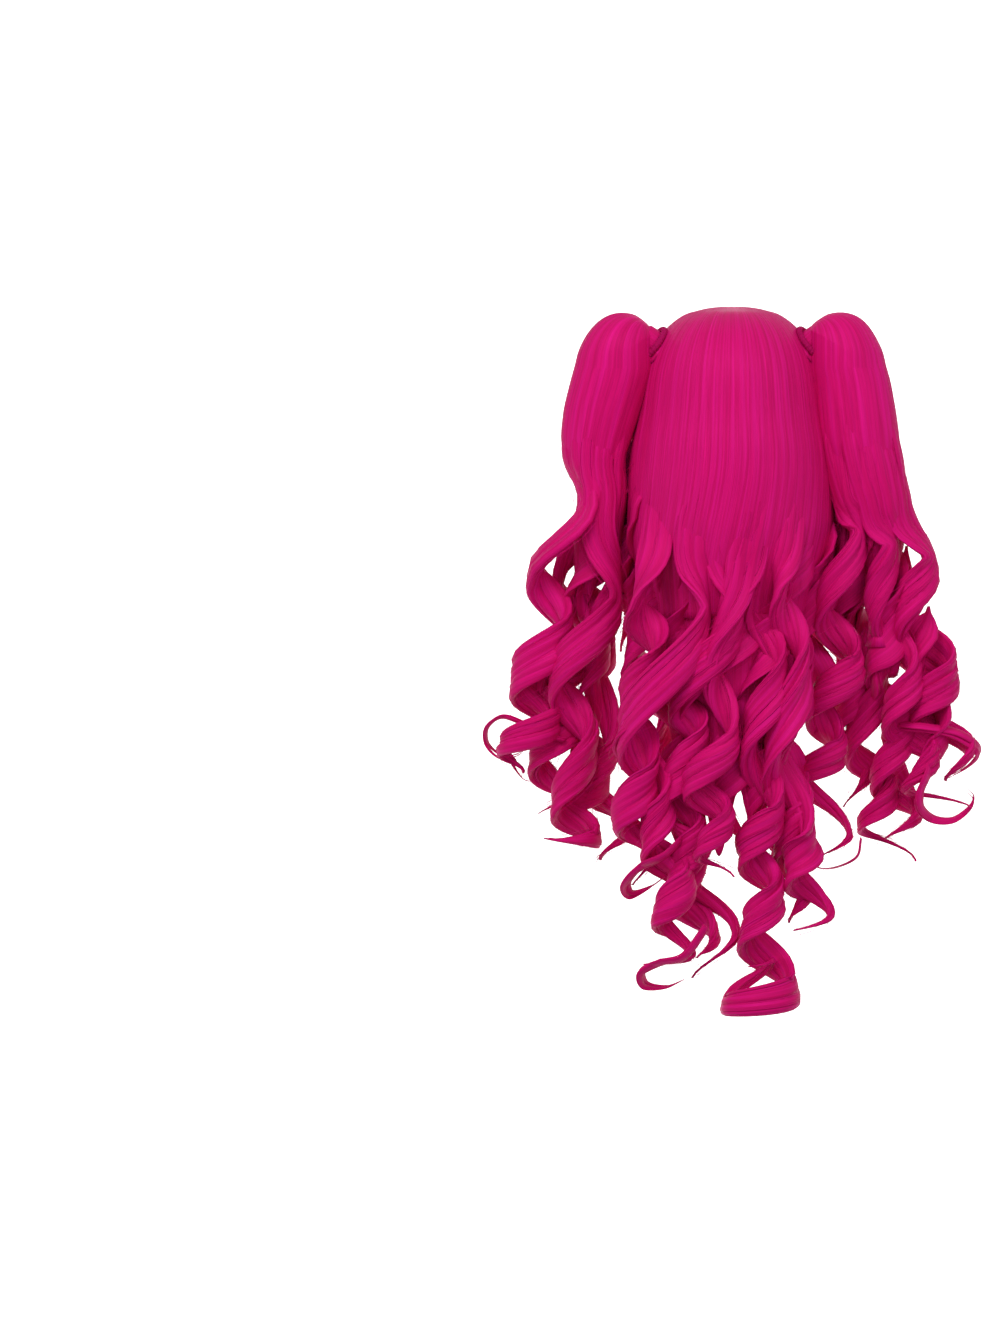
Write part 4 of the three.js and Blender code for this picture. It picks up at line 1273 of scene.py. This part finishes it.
def cloth_material(name, colours, cycles, roughness):
    """Woven cloth: fine threads both ways, as colour and relief. The colours are a dark and a light one."""
    material, nodes, links, shader = new_material(name)
    shader.inputs["Roughness"].default_value = roughness
    shader.inputs["Specular Tint"].default_value = (*HAIR_SHINE, 1)
    place = nodes.new("ShaderNodeTexCoord")
    weave = nodes.new("ShaderNodeMath")
    weave.operation = "MULTIPLY"
    for direction, thread in zip(("X", "Z"), weave.inputs):
        wave = nodes.new("ShaderNodeTexWave")
        wave.bands_direction = direction
        fill_in(wave, {"Scale": cycles, "Distortion": 0.6, "Detail Scale": 2.0})
        links.new(place.outputs["Object"], wave.inputs["Vector"])
        links.new(wave.outputs["Fac"], thread)
    dark, light = colours
    base = ramp(nodes, links, weave.outputs["Value"], [(0.0, dark), (0.8, light)])
    links.new(base, shader.inputs["Base Color"])
    add_bump(nodes, links, shader, weave.outputs["Value"], 0.0004)
    return material


# Stage


def aimed(name, data, place, aim):
    """A light or a camera that looks from its place to its aim."""
    thing = bpy.data.objects.new(name, data)
    thing.location = place
    thing.rotation_mode = "QUATERNION"
    thing.rotation_quaternion = (Vector(aim) - Vector(place)).to_track_quat("-Z", "Y")
    bpy.context.scene.collection.objects.link(thing)
    return thing


def backdrop():
    """A white floor that bends up into a wall behind the wig."""
    material, _, _, shader = new_material("studio_white")
    shader.inputs["Base Color"].default_value = (*STUDIO_WHITE, 1)
    shader.inputs["Roughness"].default_value = 0.9
    shader.inputs["Emission Color"].default_value = (*WHITE, 1)
    shader.inputs["Emission Strength"].default_value = 0.9
    profile = [(FLOOR_NEAR, FLOOR_Z)]
    for step in range(STAGE_BEND_STEPS + 1):
        angle = math.radians(90 * step / STAGE_BEND_STEPS)
        y = WALL_Y - STAGE_BEND + STAGE_BEND * math.sin(angle)
        profile.append((y, FLOOR_Z + STAGE_BEND - STAGE_BEND * math.cos(angle)))
    profile.append((WALL_Y, WALL_TOP))
    points = [(x, y, z) for y, z in profile for x in (-STAGE_HALF_WIDTH, STAGE_HALF_WIDTH)]
    faces = [(2 * i, 2 * i + 1, 2 * i + 3, 2 * i + 2) for i in range(len(profile) - 1)]
    mesh = bpy.data.meshes.new("studio_sweep")
    mesh.from_pydata(points, [], faces)
    mesh.polygons.foreach_set("use_smooth", [True] * len(faces))
    mesh.materials.append(material)
    sweep = bpy.data.objects.new("studio_sweep", mesh)
    bpy.context.scene.collection.objects.link(sweep)


def studio():
    """The light round the wig: a white world and the lamps."""
    world = bpy.data.worlds.new("studio")
    world.use_nodes = True
    fill_in(world.node_tree.nodes["Background"], {"Color": (*WHITE, 1), "Strength": 0.4})
    bpy.context.scene.world = world
    for name, size, power, place, aim in LIGHTS:
        data = bpy.data.lights.new(name, "AREA")
        data.energy = power
        data.size = size
        aimed(name, data, place, aim)


def camera():
    data = bpy.data.cameras.new("camera")
    data.lens = CAMERA_LENS
    data.sensor_width = CAMERA_SENSOR
    distance = CAMERA_LENS / CAMERA_SENSOR * FRAME_HEIGHT
    up = math.radians(CAMERA_ELEVATION)
    aim_x = FRAME_WIDTH / 2 - PIXEL_OF_MIDDLE
    aim = Vector((aim_x, FOCUS_Y, PIXEL_OF_ORIGIN_HEIGHT - FRAME_HEIGHT / 2)) * MM
    place = Vector((0, aim.y - distance * math.cos(up) * MM, aim.z + distance * math.sin(up) * MM))
    bpy.context.scene.camera = aimed("camera", data, place, aim)


bpy.context.scene.view_settings.view_transform = "Standard"
camera()
backdrop()
studio()
HAIR = hair_material()
CLOTH = cloth_material("cap_cloth", CLOTH_COLOURS, 700, 0.9)
ELASTIC = cloth_material("elastic", ELASTIC_COLOURS, 500, 0.8)

crown(HAIR)
curtain(HAIR)
back_origin = (0, -CAP["back"] - FALL_BACK, -FALL_CURL_TOP)
for number, row in enumerate(BACK_CURLS):
    sized = sized_curl(row, back_origin, FALL_HALF_WIDTH, FALL_CURL_LENGTH, 1)
    back_lock(f"back_lock_{number + 1}", sized, np.random.default_rng(BACK_SEED + number), HAIR)
for name in SIDES:
    pigtail(name, HAIR)
    tie(name, ELASTIC)
for number, (place, rows) in enumerate(INNER_CURLS.items()):
    inner_curls(f"inner_curls_{place}", rows, HAIR, np.random.default_rng(SEEDS["inner"] + number))
front(HAIR)
cap(CLOTH)
wisps(HAIR)
